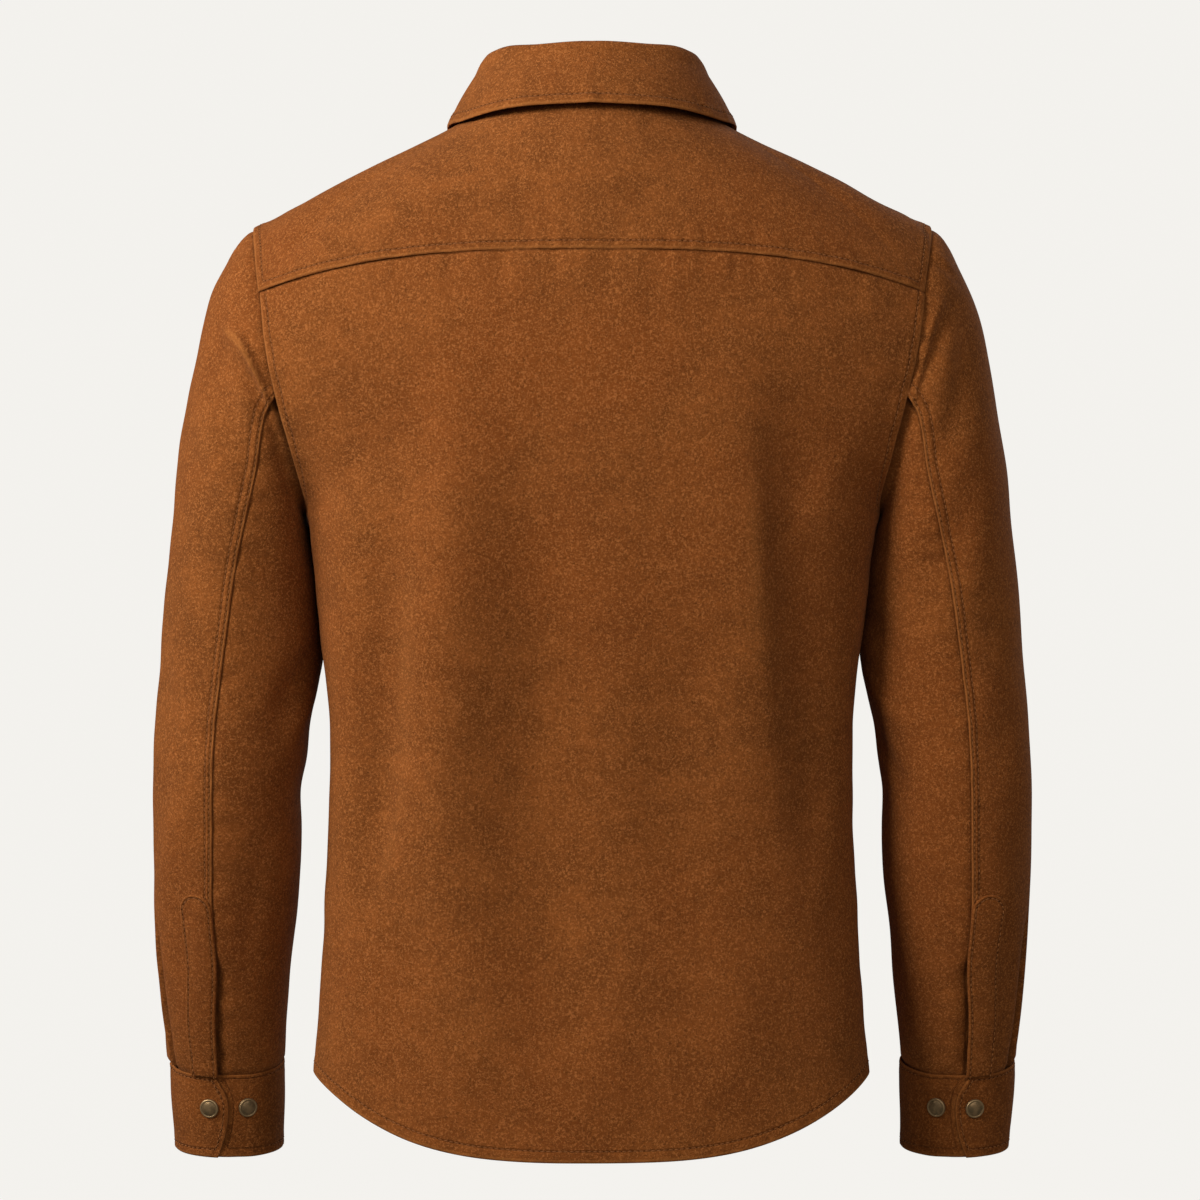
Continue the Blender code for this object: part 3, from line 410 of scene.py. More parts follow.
def run_on(cloth, side, reach=0.0030, drop=0.0004):
    """Carries an under layer on a little beyond its edge, beneath the layer over it."""
    axis, here, inner = {"first": (1, 0, 1), "last": (1, -1, -2), "top": (0, 0, 1), "foot": (0, -1, -2)}[side]
    step = unit(np.take(cloth.grid, here, axis) - np.take(cloth.grid, inner, axis))
    line = np.expand_dims(np.take(cloth.grid, here, axis) + step * reach, axis)
    pad = [(0, 0), (0, 0)]
    pad[axis] = (1, 0) if here == 0 else (0, 1)
    cloth.grid = np.concatenate([line, cloth.grid] if here == 0 else [cloth.grid, line], axis=axis)
    cloth.out = np.pad(cloth.out, [*pad, (0, 0)], mode="edge")
    cloth.height = np.pad(cloth.height, pad, mode="edge")
    cloth.painted_light_and_shade = np.pad(cloth.painted_light_and_shade, pad, mode="edge")
    cloth.sewn = [np.pad(field, pad, mode="edge") for field in cloth.sewn]
    edge = [slice(None), slice(None)]
    edge[axis] = here
    cloth.height[tuple(edge)] -= drop


def mirrored(points, mirror):
    """Points or directions of the wearer's left side, or for a mirror of -1 of the right side."""
    return points * np.array([mirror, 1.0, 1.0])


def add_object(name, data):
    item = bpy.data.objects.new(name, data)
    bpy.context.scene.collection.objects.link(item)
    return item


def make_cloth(name, cloth, finish, thickness=SUEDE_THICKNESS, mirror=1.0):
    """The piece's object: a shell whose wall lies inwards, which knows where it is sewn and where highlight
    and shade are painted on it.
    """
    points, out = mirrored(cloth.points(), mirror), mirrored(cloth.out, mirror)
    rows, columns = points.shape[:2]
    corner = np.arange(rows * columns).reshape(rows, columns)[:-1, :-1].reshape(-1)
    faces = np.stack([corner, corner + columns, corner + columns + 1, corner + 1], axis=1)
    turned = np.cross(points[1:, :-1] - points[:-1, :-1], points[:-1, 1:] - points[:-1, :-1])
    if (turned * out[:-1, :-1]).sum() < 0:
        faces = faces[:, ::-1]
    mesh = bpy.data.meshes.new(name)
    mesh.from_pydata(points.reshape(-1, 3).tolist(), [], faces.tolist())
    unsewn = np.full(rows * columns, 1.0)
    fields = [field.reshape(-1) for field in cloth.sewn] + [unsewn] * (6 - len(cloth.sewn))
    for label, group in (("sewn_a", fields[:3]), ("sewn_b", fields[3:6])):
        layer = mesh.attributes.new(label, "FLOAT_VECTOR", "POINT")
        layer.data.foreach_set("vector", np.stack(group, axis=1).astype(np.float32).reshape(-1))
    # Painted highlight where above zero and painted shade where below, for the suede's colour.
    layer = mesh.attributes.new("painted_light_and_shade", "FLOAT", "POINT")
    layer.data.foreach_set("value", cloth.painted_light_and_shade.astype(np.float32).reshape(-1))
    mesh.materials.append(finish)
    mesh.shade_smooth()
    piece = add_object(name, mesh)
    wall = piece.modifiers.new("wall", "SOLIDIFY")
    wall.thickness = thickness
    wall.offset = -1.0
    return piece


class Signal:
    """A shader socket that takes part in sums like a number."""

    def __init__(self, socket):
        self.socket = socket

    def math(self, operation, *others, flip=False):
        tree = self.socket.id_data
        node = tree.nodes.new("ShaderNodeMath")
        node.operation = operation
        values = [self, *others]
        for target, value in zip(node.inputs, values[::-1] if flip else values):
            if isinstance(value, Signal):
                tree.links.new(value.socket, target)
            else:
                target.default_value = value
        return Signal(node.outputs[0])

    def __add__(self, other):
        return self.math("ADD", other)

    __radd__ = __add__

    def __sub__(self, other):
        return self.math("SUBTRACT", other)

    def __rsub__(self, other):
        return self.math("SUBTRACT", other, flip=True)

    def __mul__(self, other):
        return self.math("MULTIPLY", other)

    __rmul__ = __mul__


class Finish:
    """A material being made: node() adds one node and gives back one of its outputs."""

    def __init__(self, name):
        self.material = bpy.data.materials.new(name)
        self.material.use_nodes = True
        self.tree = self.material.node_tree
        self.tree.nodes.clear()

    def node(self, kind, settings=None, inputs=None, output=0):
        node = self.tree.nodes.new(kind)
        for label, value in (settings or {}).items():
            setattr(node, label, value)
        for label, value in (inputs or {}).items():
            if isinstance(value, Signal):
                self.tree.links.new(value.socket, node.inputs[label])
            else:
                node.inputs[label].default_value = value
        return Signal(node.outputs[output])

    def noise(self, place, scale, detail=2.0, roughness=0.5, distortion=0.0):
        values = {"Scale": scale, "Detail": detail, "Roughness": roughness, "Distortion": distortion}
        return self.node("ShaderNodeTexNoise", None, {"Vector": place, **values}, "Fac")

    def spread(self, value, low, high, to_low=0.0, to_high=1.0):
        """A value's range stretched to another one, with soft ends."""
        settings = {"interpolation_type": "SMOOTHSTEP"}
        inputs = {"Value": value, "From Min": low, "From Max": high, "To Min": to_low, "To Max": to_high}
        return self.node("ShaderNodeMapRange", settings, inputs, "Result")

    def mix(self, factor, first, second):
        return self.node("ShaderNodeMix", {"data_type": "RGBA"}, {0: factor, 6: first, 7: second}, 2)

    def bump(self, height, strength, distance):
        values = {"Strength": strength, "Distance": distance, "Height": height}
        return self.node("ShaderNodeBump", None, values, "Normal")

    def done(self, shader):
        end = self.tree.nodes.new("ShaderNodeOutputMaterial")
        self.tree.links.new(shader.socket, end.inputs["Surface"])
        return self.material


def tinted(colour, amounts):
    """A colour with each of its channels raised or lowered by its own amount."""
    return (*(channel * amount for channel, amount in zip(colour, amounts)), 1.0)


SUEDE_COLOUR = (0.212, 0.0630, 0.0120)
# How each state of the nap changes that colour, by channel. The worn tint is a painted highlight, and the
# shaded and groove tints are painted shade.
SUEDE_TINTS = {
    "stroked_down": (0.79, 0.79, 0.79),
    "stroked_up": (1.19, 1.19, 1.19),
    "redder": (0.98, 0.86, 0.78),
    "hollow": (0.46, 0.46, 0.46),
    "tip": (1.92, 2.26, 3.00),
    "worn": (1.75, 2.10, 2.60),
    "shaded": (0.38, 0.38, 0.38),
    "groove": (0.50, 0.50, 0.50),
}
# The nap's marks: how many to a metre, how fine, how rough and how wavy. In order, these are the tips of
# hairs, the hollows between them, finger marks, patches where the nap lies another way, and the uneven dye.
NapMark = namedtuple("NapMark", "scale detail roughness distortion")
NAP_MARKS = (
    NapMark(690.0, 1.5, 0.55, 0.9),
    NapMark(540.0, 2.0, 0.60, 1.2),
    NapMark(70.0, 3.0, 0.60, 0.8),
    NapMark(24.0, 4.0, 0.62, 0.8),
    NapMark(6.5, 2.0, 0.50, 0.4),
)
STITCH_GROOVE = 0.0013


def suede_finish(name, shade=1.0, colour=SUEDE_COLOUR):
    """Napped suede: brushed hairs, patches where the nap lies another way, a painted highlight on lips and
    crests, and painted shade in sewn grooves and under laps.
    """
    colour = tuple(channel * shade for channel in colour)
    tint = {label: tinted(colour, amounts) for label, amounts in SUEDE_TINTS.items()}
    finish = Finish(name)
    place = finish.node("ShaderNodeTexCoord", None, None, "Object")
    tips, hollows, mottle, patch, dye = (finish.noise(place, *mark) for mark in NAP_MARKS)

    # The painted highlight and painted shade that each piece carries.
    rubbed = finish.node("ShaderNodeAttribute", {"attribute_name": "painted_light_and_shade"}, None, "Fac")
    nearest = None
    for label in ("sewn_a", "sewn_b"):
        field = finish.node("ShaderNodeAttribute", {"attribute_name": label}, None, "Vector")
        size = finish.node("ShaderNodeVectorMath", {"operation": "ABSOLUTE"}, {0: field}, "Vector")
        split = finish.node("ShaderNodeSeparateXYZ", None, {0: size}, "X").socket.node
        for part in split.outputs:
            nearest = Signal(part) if nearest is None else nearest.math("MINIMUM", Signal(part))
    # Beside each line of stitches: a groove in the bump, and painted shade in the colour.
    groove = finish.spread(nearest, 0.0, STITCH_GROOVE, 1.0, 0.0)

    nap = finish.spread(patch * 0.6 + mottle * 0.4, 0.34, 0.66)
    body = finish.mix(nap, tint["stroked_down"], tint["stroked_up"])
    body = finish.mix(finish.spread(dye, 0.40, 0.66) * 0.55, body, tint["redder"])
    body = finish.mix(finish.spread(hollows, 0.30, 0.52, 1.0, 0.0) * 0.60, body, tint["hollow"])
    body = finish.mix(finish.spread(tips, 0.47, 0.68) * 0.72, body, tint["tip"])
    # Painted light: a pale highlight on lips and crests, then painted shade under laps, in seams, pleats and
    # armpits.
    body = finish.mix(finish.spread(rubbed, 0.15, 1.3) * 0.50, body, tint["worn"])
    body = finish.mix(finish.spread(rubbed, -0.15, -1.1) * 0.62, body, tint["shaded"])
    # Painted shade in the stitch grooves.
    body = finish.mix(groove * 0.38, body, tint["groove"])

    height = tips * 0.30 + hollows * 0.70 + mottle * 0.50 + patch * 0.9 - groove * 0.55
    inputs = {
        "Base Color": body,
        "Roughness": 0.96,
        "Normal": finish.bump(height, strength=0.90, distance=0.0010),
        "Specular IOR Level": 0.10,
        "Sheen Weight": 0.03,
        "Sheen Roughness": 0.45,
        "Sheen Tint": (1.0, 0.72, 0.50, 1.0),
    }
    return finish.done(finish.node("ShaderNodeBsdfPrincipled", None, inputs, "BSDF"))


STRAND_SCALE = 900.0
STRAND_SHADES = ((0.8, 0.8, 0.8), (1.2, 1.2, 1.2))
THREAD_COLOUR = (0.310, 0.118, 0.036)
# The needle hole is a near-black dot: painted shadow.
HOLE_SHADOW_COLOUR = (0.045, 0.014, 0.004)


def plain_finish(name, colour, roughness):
    """Waxed thread, or the shadow in a needle hole."""
    finish = Finish(name)
    place = finish.node("ShaderNodeTexCoord", None, None, "Object")
    strand = finish.noise(place, scale=STRAND_SCALE, detail=2.0)
    dark, light = (tinted(colour, shade) for shade in STRAND_SHADES)
    inputs = {
        "Base Color": finish.mix(strand, dark, light),
        "Roughness": roughness,
        "Normal": finish.bump(strand, strength=0.4, distance=0.0002),
        "Specular IOR Level": 0.1,
    }
    return finish.done(finish.node("ShaderNodeBsdfPrincipled", None, inputs, "BSDF"))


thread_finish = plain_finish("waxed_thread", THREAD_COLOUR, 0.62)
hole_shadow_finish = plain_finish("needle_hole_shadow", HOLE_SHADOW_COLOUR, 0.95)

STITCH_PITCH = 0.0039
THREAD_LENGTH = 0.0030
THREAD_WIDTH = 0.0007
HOLE_DEPTH = 0.0004
STITCH_LIFT = 0.0001


def stitch_tree():
    """Stitches along lines: at each pitch a thread and, half a pitch on, a dark dot of painted shadow for the
    hole that it goes down.
    """
    tree = bpy.data.node_groups.new("stitches", "GeometryNodeTree")
    tree.interface.new_socket("Lines", in_out="INPUT", socket_type="NodeSocketGeometry")
    sizes = {"Pitch": STITCH_PITCH, "Thread Length": THREAD_LENGTH, "Thread Width": THREAD_WIDTH}
    for label, value in sizes.items():
        tree.interface.new_socket(label, in_out="INPUT", socket_type="NodeSocketFloat").default_value = value
    for label in ("Thread", "Hole"):
        tree.interface.new_socket(label, in_out="INPUT", socket_type="NodeSocketMaterial")
    tree.interface.new_socket("Stitches", in_out="OUTPUT", socket_type="NodeSocketGeometry")

    def add(kind, links=None, settings=None, values=None):
        node = tree.nodes.new(kind)
        for label, value in (settings or {}).items():
            setattr(node, label, value)
        for label, value in (values or {}).items():
            node.inputs[label].default_value = value
        for label, socket in (links or {}).items():
            tree.links.new(socket, node.inputs[label])
        return node

    given = add("NodeGroupInput").outputs
    curve = add("GeometryNodeMeshToCurve", {"Mesh": given["Lines"]}).outputs["Curve"]
    spaced = add("GeometryNodeResampleCurve", {"Curve": curve, "Length": given["Pitch"]}, {"mode": "LENGTH"})
    facing = add("GeometryNodeInputNamedAttribute", None, {"data_type": "FLOAT_VECTOR"}, {"Name": "facing"})
    tangent = add("GeometryNodeInputTangent").outputs["Tangent"]
    lengthwise = add("FunctionNodeAlignRotationToVector", {"Vector": tangent}, {"axis": "X"})
    upright = add(
        "FunctionNodeAlignRotationToVector",
        {"Rotation": lengthwise.outputs["Rotation"], "Vector": facing.outputs["Attribute"]},
        {"axis": "Z", "pivot_axis": "X"},
    )
    ball_sizes = {"Segments": 6, "Rings": 3, "Radius": 0.5}
    ball = add("GeometryNodeMeshUVSphere", None, None, ball_sizes).outputs["Mesh"]
    length, width = given["Thread Length"], given["Thread Width"]
    size = add("ShaderNodeCombineXYZ", {0: length, 1: width, 2: width})
    thread = add("GeometryNodeTransform", {"Geometry": ball, "Scale": size.outputs[0]})
    half = add("ShaderNodeMath", {0: given["Pitch"]}, {"operation": "MULTIPLY"}, {1: 0.5}).outputs[0]
    shift = add("ShaderNodeCombineXYZ", {0: half}).outputs[0]
    pit = add("ShaderNodeCombineXYZ", {0: width, 1: width}, None, {2: HOLE_DEPTH})
    hole = add("GeometryNodeTransform", {"Geometry": ball, "Translation": shift, "Scale": pit.outputs[0]})
    marked = add(
        "GeometryNodeStoreNamedAttribute",
        {"Geometry": hole.outputs[0]},
        {"data_type": "BOOLEAN", "domain": "FACE"},
        {"Name": "hole", "Value": True},
    )
    both = add("GeometryNodeJoinGeometry")
    tree.links.new(thread.outputs[0], both.inputs[0])
    tree.links.new(marked.outputs[0], both.inputs[0])
    placed = add(
        "GeometryNodeInstanceOnPoints",
        {"Points": spaced.outputs[0], "Instance": both.outputs[0], "Rotation": upright.outputs["Rotation"]},
    )
    real = add("GeometryNodeRealizeInstances", {"Geometry": placed.outputs[0]})
    threads = add("GeometryNodeSetMaterial", {"Geometry": real.outputs[0], "Material": given["Thread"]})
    is_hole = add("GeometryNodeInputNamedAttribute", None, {"data_type": "BOOLEAN"}, {"Name": "hole"})
    chosen = {"Geometry": threads.outputs[0], "Selection": is_hole.outputs["Attribute"]}
    holes = add("GeometryNodeSetMaterial", {**chosen, "Material": given["Hole"]})
    add("NodeGroupOutput", {0: holes.outputs[0]})
    return tree


STITCHES = stitch_tree()


def sew_lines(name, lines, mirror):
    """A piece's stitches, as one plain mesh."""
    points, facing, edges = [], [], []
    for line in lines:
        start = len(points)
        points += (line.points + line.facing * STITCH_LIFT).tolist()
        facing += line.facing.tolist()
        edges += [(k, k + 1) for k in range(start, len(points) - 1)]
    mesh = bpy.data.meshes.new(name + "_lines")
    mesh.from_pydata(mirrored(np.array(points), mirror).tolist(), edges, [])
    layer = mesh.attributes.new("facing", "FLOAT_VECTOR", "POINT")
    layer.data.foreach_set("vector", mirrored(np.array(facing), mirror).astype(np.float32).reshape(-1))
    carrier = add_object(name + "_lines", mesh)
    sewing = carrier.modifiers.new("stitches", "NODES")
    sewing.node_group = STITCHES
    inputs = {item.name: item.identifier for item in STITCHES.interface.items_tree if item.in_out == "INPUT"}
    for label, value in (("Pitch", STITCH_PITCH), ("Thread", thread_finish), ("Hole", hole_shadow_finish)):
        sewing[inputs[label]] = value
    evaluated = carrier.evaluated_get(bpy.context.evaluated_depsgraph_get())
    stitches = bpy.data.meshes.new_from_object(evaluated)
    stitches.name = name
    bpy.data.objects.remove(carrier, do_unlink=True)
    stitches.shade_smooth()
    piece = add_object(name, stitches)
    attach(piece, "root")
    return piece


def finish_cloth(name, node, cloth, finish, thickness=SUEDE_THICKNESS, mirror=1.0):
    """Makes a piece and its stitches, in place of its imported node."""
    piece = make_cloth(name, cloth, finish, thickness, mirror)
    stitches = [sew_lines(name + "_stitches", cloth.lines, mirror)] if cloth.lines else []
    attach(piece, "root")
    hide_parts(node)
    return piece


above, below = BACK_YOKE_HEIGHT - UNDERARM_HEIGHT, UNDERARM_HEIGHT - BACK_HEM_HEIGHT
levels, underarm = body_levels(above, below, BACK_SPACING)
half_lines = panel_lines(BACK_HALF_SPAN, (), LAP_LINES, BACK_SPACING)
back_across = np.concatenate([-half_lines[:0:-1], half_lines])
back = Cloth(np.stack([across_body(back_row(level), back_across) for level in levels]), BODY_MIDDLE)
x, z = back.grid[..., 0], back.grid[..., 2]
run_in = 1 - np.abs(back_across) ** 6
back.fold(BACK_FOLDS, x, z, run_in)
back.fold(BACK_CREASES, x, z, run_in)
back.fold(BACK_CRESTS, x, z, run_in, BACK_CREST_HIGHLIGHT)
back.swell(wavelength=0.100, high=0.0007, seed=11)
back.swell(wavelength=0.036, high=0.00022, seed=12)
yoke_seam, hem = back.edge("top"), back.edge("foot")
back.calm(yoke_seam, share=0.75, reach=0.012)
armholes = {side: back.edge(side, 0, underarm + 1) for side in ("first", "last")}
back.under(yoke_seam)
back.pucker(yoke_seam, x, seed=13, high=0.0005, reach=0.020)
for side, edge in armholes.items():
    back.lap(edge)
    back.pucker(edge, z, seed=14, high=0.0004)
    back.join(back.edge(side, underarm))
back.turn_up(hem)
back.pucker(hem, x, seed=15, high=0.0004, reach=0.010, wavelength=0.024)
for side, edge in armholes.items():
    back.sew(edge, LAP_ROW, side, first=0.03, last=(underarm - ARMHOLE_BARE_ROWS) / (len(levels) - 1))
back.sew(hem, HEM_ROW, "foot")
run_on(back, "top")
back_suede = suede_finish("suede_back")
finish_cloth("back_panel_suede", "back_panel", back, back_suede)


# ------------------------------------------------------------------------------------------------
# Back yoke: one piece of suede over the shoulder blades and both shoulders, its grain running across.
# It is sewn under the collar at the neck, and lapped and topstitched over the back, fronts and sleeve heads.
NECK_HALF_WIDTH = 0.078
NECK_BACK_Y = 0.062
NECK_FRONT_Y = -0.080
NECK_BACK_HEIGHT = 0.006
NECK_SIDE_HEIGHT = -0.004
NECK_FRONT_HEIGHT = -0.070
YOKE_FRONT_ANGLE = 98.0 / 3
SHOULDER_SLOPE = math.radians(27.6)
YOKE_TAKE_OFF = math.radians(5.0)
YOKE_FRONT_NORMAL = (0.42, -0.62, 0.66)
# The back's slope at the yoke seam is read from points this far beside the seam's point and below it.
BESIDE_SHARE, BELOW_LEVEL = 0.03, 0.06
YOKE_MIDDLE = (0.0, 0.0, -0.3)
YOKE_SPACING = 0.0028
YOKE_ROWS = 50
YOKE_SHADE = 0.96
# The yoke's edge: where it passes from back seam to armhole to front seam, and how far along it that is.
YokePlace = namedtuple("YokePlace", "across neck_angle edge_angle run")
YOKE_PLACES = (
    YokePlace(0.00, 0.0, 0.0, 0.000),
    YokePlace(0.66, 62.0, YOKE_BACK_ANGLE, 0.235),
    YokePlace(0.88, 90.0, 0.0, 0.322),
    YokePlace(1.00, 110.0, -YOKE_FRONT_ANGLE, 0.366),
)
YOKE_FOLDS = (
    Fold(0.030, -0.030, 0.052, -0.106, 0.003, 0.014, 0.020, -0.0012),
    Fold(-0.060, -0.040, -0.105, -0.108, -0.003, 0.018, 0.014, 0.0011),
    Fold(0.110, -0.045, 0.165, -0.112, 0.004, 0.016, 0.016, 0.0012),
    Fold(-0.150, -0.070, -0.205, -0.118, 0.003, 0.012, 0.016, -0.0012),
    Fold(0.180, -0.075, 0.222, -0.116, 0.002, 0.012, 0.014, -0.0011),
)


def neck_point(angle):
    """The collar seam: 0 at the centre back, 90 at the neck point and 180 at the centre front."""
    turn = np.radians(np.abs(angle))
    cos = np.cos(turn)
    x = NECK_HALF_WIDTH * np.sin(turn) * np.sign(angle)
    y = np.where(cos > 0, NECK_BACK_Y * cos, -NECK_FRONT_Y * cos)
    end = np.where(cos > 0, NECK_BACK_HEIGHT, NECK_FRONT_HEIGHT)
    z = NECK_SIDE_HEIGHT + (end - NECK_SIDE_HEIGHT) * np.abs(cos) ** 1.6
    return np.stack([x, y, z], axis=-1)


def edge_frame(across):
    """The yoke's outer edge on the wearer's left, and the way its surface faces there."""
    corner, ridge = YOKE_PLACES[1].across, YOKE_PLACES[2].across
    crown = np.array([math.sin(SHOULDER_SLOPE), 0.0, math.cos(SHOULDER_SLOPE)])
    if across <= corner:
        here = across / corner
        beside = max(here - BESIDE_SHARE, 0.0) if here > 0.5 else here + BESIDE_SHARE
        upper, side = across_body(back_row(0.0), np.array([here, beside]))
        lower = across_body(back_row(BELOW_LEVEL), np.array([here]))[0]
        normal = unit(np.cross(lower - upper, side - upper))
        return upper, normal if normal[1] > 0 else -normal
    angle = np.interp(across, [p.across for p in YOKE_PLACES[1:]], [p.edge_angle for p in YOKE_PLACES[1:]])
    point = armhole_point(angle)
    if across <= ridge:
        share = ease((across - corner) / (ridge - corner))
        return point, unit(edge_frame(corner)[1] * (1 - share) + crown * share)
    share = ease((across - ridge) / (1 - ridge))
    return point, unit(crown * (1 - share) + unit(np.array(YOKE_FRONT_NORMAL)) * share)


def yoke_line(across, count=60):
    """A line of the yoke from the neck seam to its outer edge, leaving both at the right slope."""
    place = abs(across)
    angle = np.interp(place, [p.across for p in YOKE_PLACES], [p.neck_angle for p in YOKE_PLACES])
    start = neck_point(np.array(max(angle, 1e-6)))
    end, normal = edge_frame(place)
    chord = end - start
    reach = np.linalg.norm(chord)
    heading = unit(np.array([chord[0], chord[1], 0.0]))
    slope = SHOULDER_SLOPE + YOKE_TAKE_OFF
    start_pull = reach * (heading * math.cos(slope) - np.array([0.0, 0.0, math.sin(slope)]))
    end_pull = unit(chord - normal * (chord @ normal)) * reach
    line = hermite(np.linspace(0.0, 1.0, count)[:, None], 1.0, start, end, start_pull, end_pull)
    line[:, 0] *= 1.0 if across >= 0 else -1.0
    return line


def row_places(span, count, last):
    """Places along a line: evenly spaced, then close together at fixed distances from its end."""
    even = np.linspace(0.0, span - last[-1], count)
    return np.concatenate([even, span - np.array(last[-2::-1]), [span]]) / span


corner_run, full_run = YOKE_PLACES[1].run, YOKE_PLACES[-1].run
half_runs = panel_lines(full_run, (), LAP_LINES, YOKE_SPACING) * full_run
half_runs[int(np.argmin(np.abs(half_runs - corner_run)))] = corner_run
half_across = np.interp(half_runs, [p.run for p in YOKE_PLACES], [p.across for p in YOKE_PLACES])
yoke_across = np.concatenate([-half_across[:0:-1], half_across])
columns = []
for place in yoke_across:
    line = yoke_line(place)
    columns.append(along(line, row_places(runs(line)[-1], YOKE_ROWS, LAP_LINES)))
yoke = Cloth(np.stack(columns, axis=1), YOKE_MIDDLE)
outer = yoke.edges("foot", "first", "last")
x, y, z = (yoke.grid[..., k] for k in range(3))
yoke.fold(YOKE_FOLDS, x, z, (y > 0.0) * ease(y / 0.05))
yoke.swell(wavelength=0.090, high=0.0006, seed=21)
yoke.swell(wavelength=0.034, high=0.0002, seed=22)
yoke.calm(yoke.edge("top"), share=0.7, reach=0.015)
yoke.lap(outer)
yoke.pucker(outer, x + 0.6 * y, seed=23, high=0.00045, reach=0.016)
yoke.join(yoke.edge("top"))
yoke.sew(outer, LAP_ROW, "foot", first=0.004, last=0.996)
for side in ("first", "last"):
    yoke.sew(outer, LAP_ROW, side, first=0.10, last=0.90)
yoke_suede = suede_finish("suede_yoke", YOKE_SHADE)
finish_cloth("back_yoke_suede", "back_yoke", yoke, yoke_suede)


# ------------------------------------------------------------------------------------------------
# Fronts: the two suede front panels, from neckline and yoke seam to the hem, plainly cut with no pockets.
# The wearer's right one runs on under the front band, a layer lower; the other's edge is sewn beneath it.
BAND_WIDTH = 0.038
BAND_STEP = 0.0023
STEP_UNDER = 0.012
UNDER_MARGIN = 0.001
FRONT_HEM_HEIGHT = -0.715
FRONT_SPACING = 0.0034
FRONT_HALF_SPAN = 0.245
FRONT_FOLDS_END = 0.190
FRONT_TOP_CHANGE = 1.15
FRONT_FOLDS = (
    Fold(0.098, -0.190, 0.112, -0.600, 0.000, 0.028, 0.028, -0.0065),
    Fold(0.142, -0.260, 0.150, -0.560, 0.000, 0.022, 0.022, 0.0045),
    Fold(-0.085, -0.230, -0.104, -0.640, 0.000, 0.030, 0.030, -0.0060),
    Fold(-0.150, -0.220, -0.146, -0.500, 0.000, 0.024, 0.024, 0.0045),
)
FRONT_CREASES = (
    Fold(0.192, -0.215, 0.128, -0.320, 0.005, 0.012, 0.015, 0.0017),
    Fold(0.170, -0.330, 0.138, -0.480, -0.004, 0.009, 0.012, 0.0020),
    Fold(0.060, -0.380, 0.072, -0.560, 0.004, 0.014, 0.009, 0.0016),
    Fold(0.128, -0.520, 0.098, -0.680, 0.004, 0.012, 0.018, 0.0016),
    Fold(-0.190, -0.225, -0.120, -0.330, -0.005, 0.014, 0.012, 0.0016),
    Fold(-0.126, -0.300, -0.120, -0.470, 0.003, 0.009, 0.014, 0.0020),
    Fold(-0.060, -0.430, -0.054, -0.610, -0.004, 0.016, 0.012, 0.0015),
    Fold(-0.160, -0.500, -0.122, -0.660, 0.004, 0.010, 0.014, 0.0018),
)


def front_row(level):
    """Half a row of the fronts, on the plain body block."""
    if level <= 1:
        side = armhole_point(360.0 - (YOKE_FRONT_ANGLE + (180.0 - YOKE_FRONT_ANGLE) * level))
        centre = NECK_FRONT_HEIGHT + (UNDERARM_HEIGHT - NECK_FRONT_HEIGHT) * level
        return block_row(side, centre, "front_y", YOKE_DROP_POWER)
    centre = UNDERARM_HEIGHT + (FRONT_HEM_HEIGHT - UNDERARM_HEIGHT) * (level - 1)
    return block_row(side_point(level), centre, "front_y", HEM_DROP_POWER)


neckline = neck_point(np.linspace(180.0, YOKE_PLACES[-1].neck_angle, 60))
shoulder_seam = yoke_line(1.0)
front_top = np.concatenate([neckline, shoulder_seam[1:]])
FRONT_CORNER = runs(neckline)[-1] / runs(front_top)[-1]
top_block = front_row(0.0)


def front_points(level, across):
    """A row of the fronts: near the top it rises from the body block to the neckline and the yoke's seam."""
    points = across_body(front_row(level), across)
    if level >= 1:
        return points
    change = along(front_top, np.abs(across)) - along(top_block, np.abs(across))
    change[:, 0] *= np.sign(across)
    slow, quick = 1 - ease(level * FRONT_TOP_CHANGE), max(1 - level, 0.0) ** 2
    return points + change * np.array([slow, quick, slow])


above, below = NECK_FRONT_HEIGHT - UNDERARM_HEIGHT, UNDERARM_HEIGHT - FRONT_HEM_HEIGHT
front_levels, front_underarm = body_levels(above, below, FRONT_SPACING)


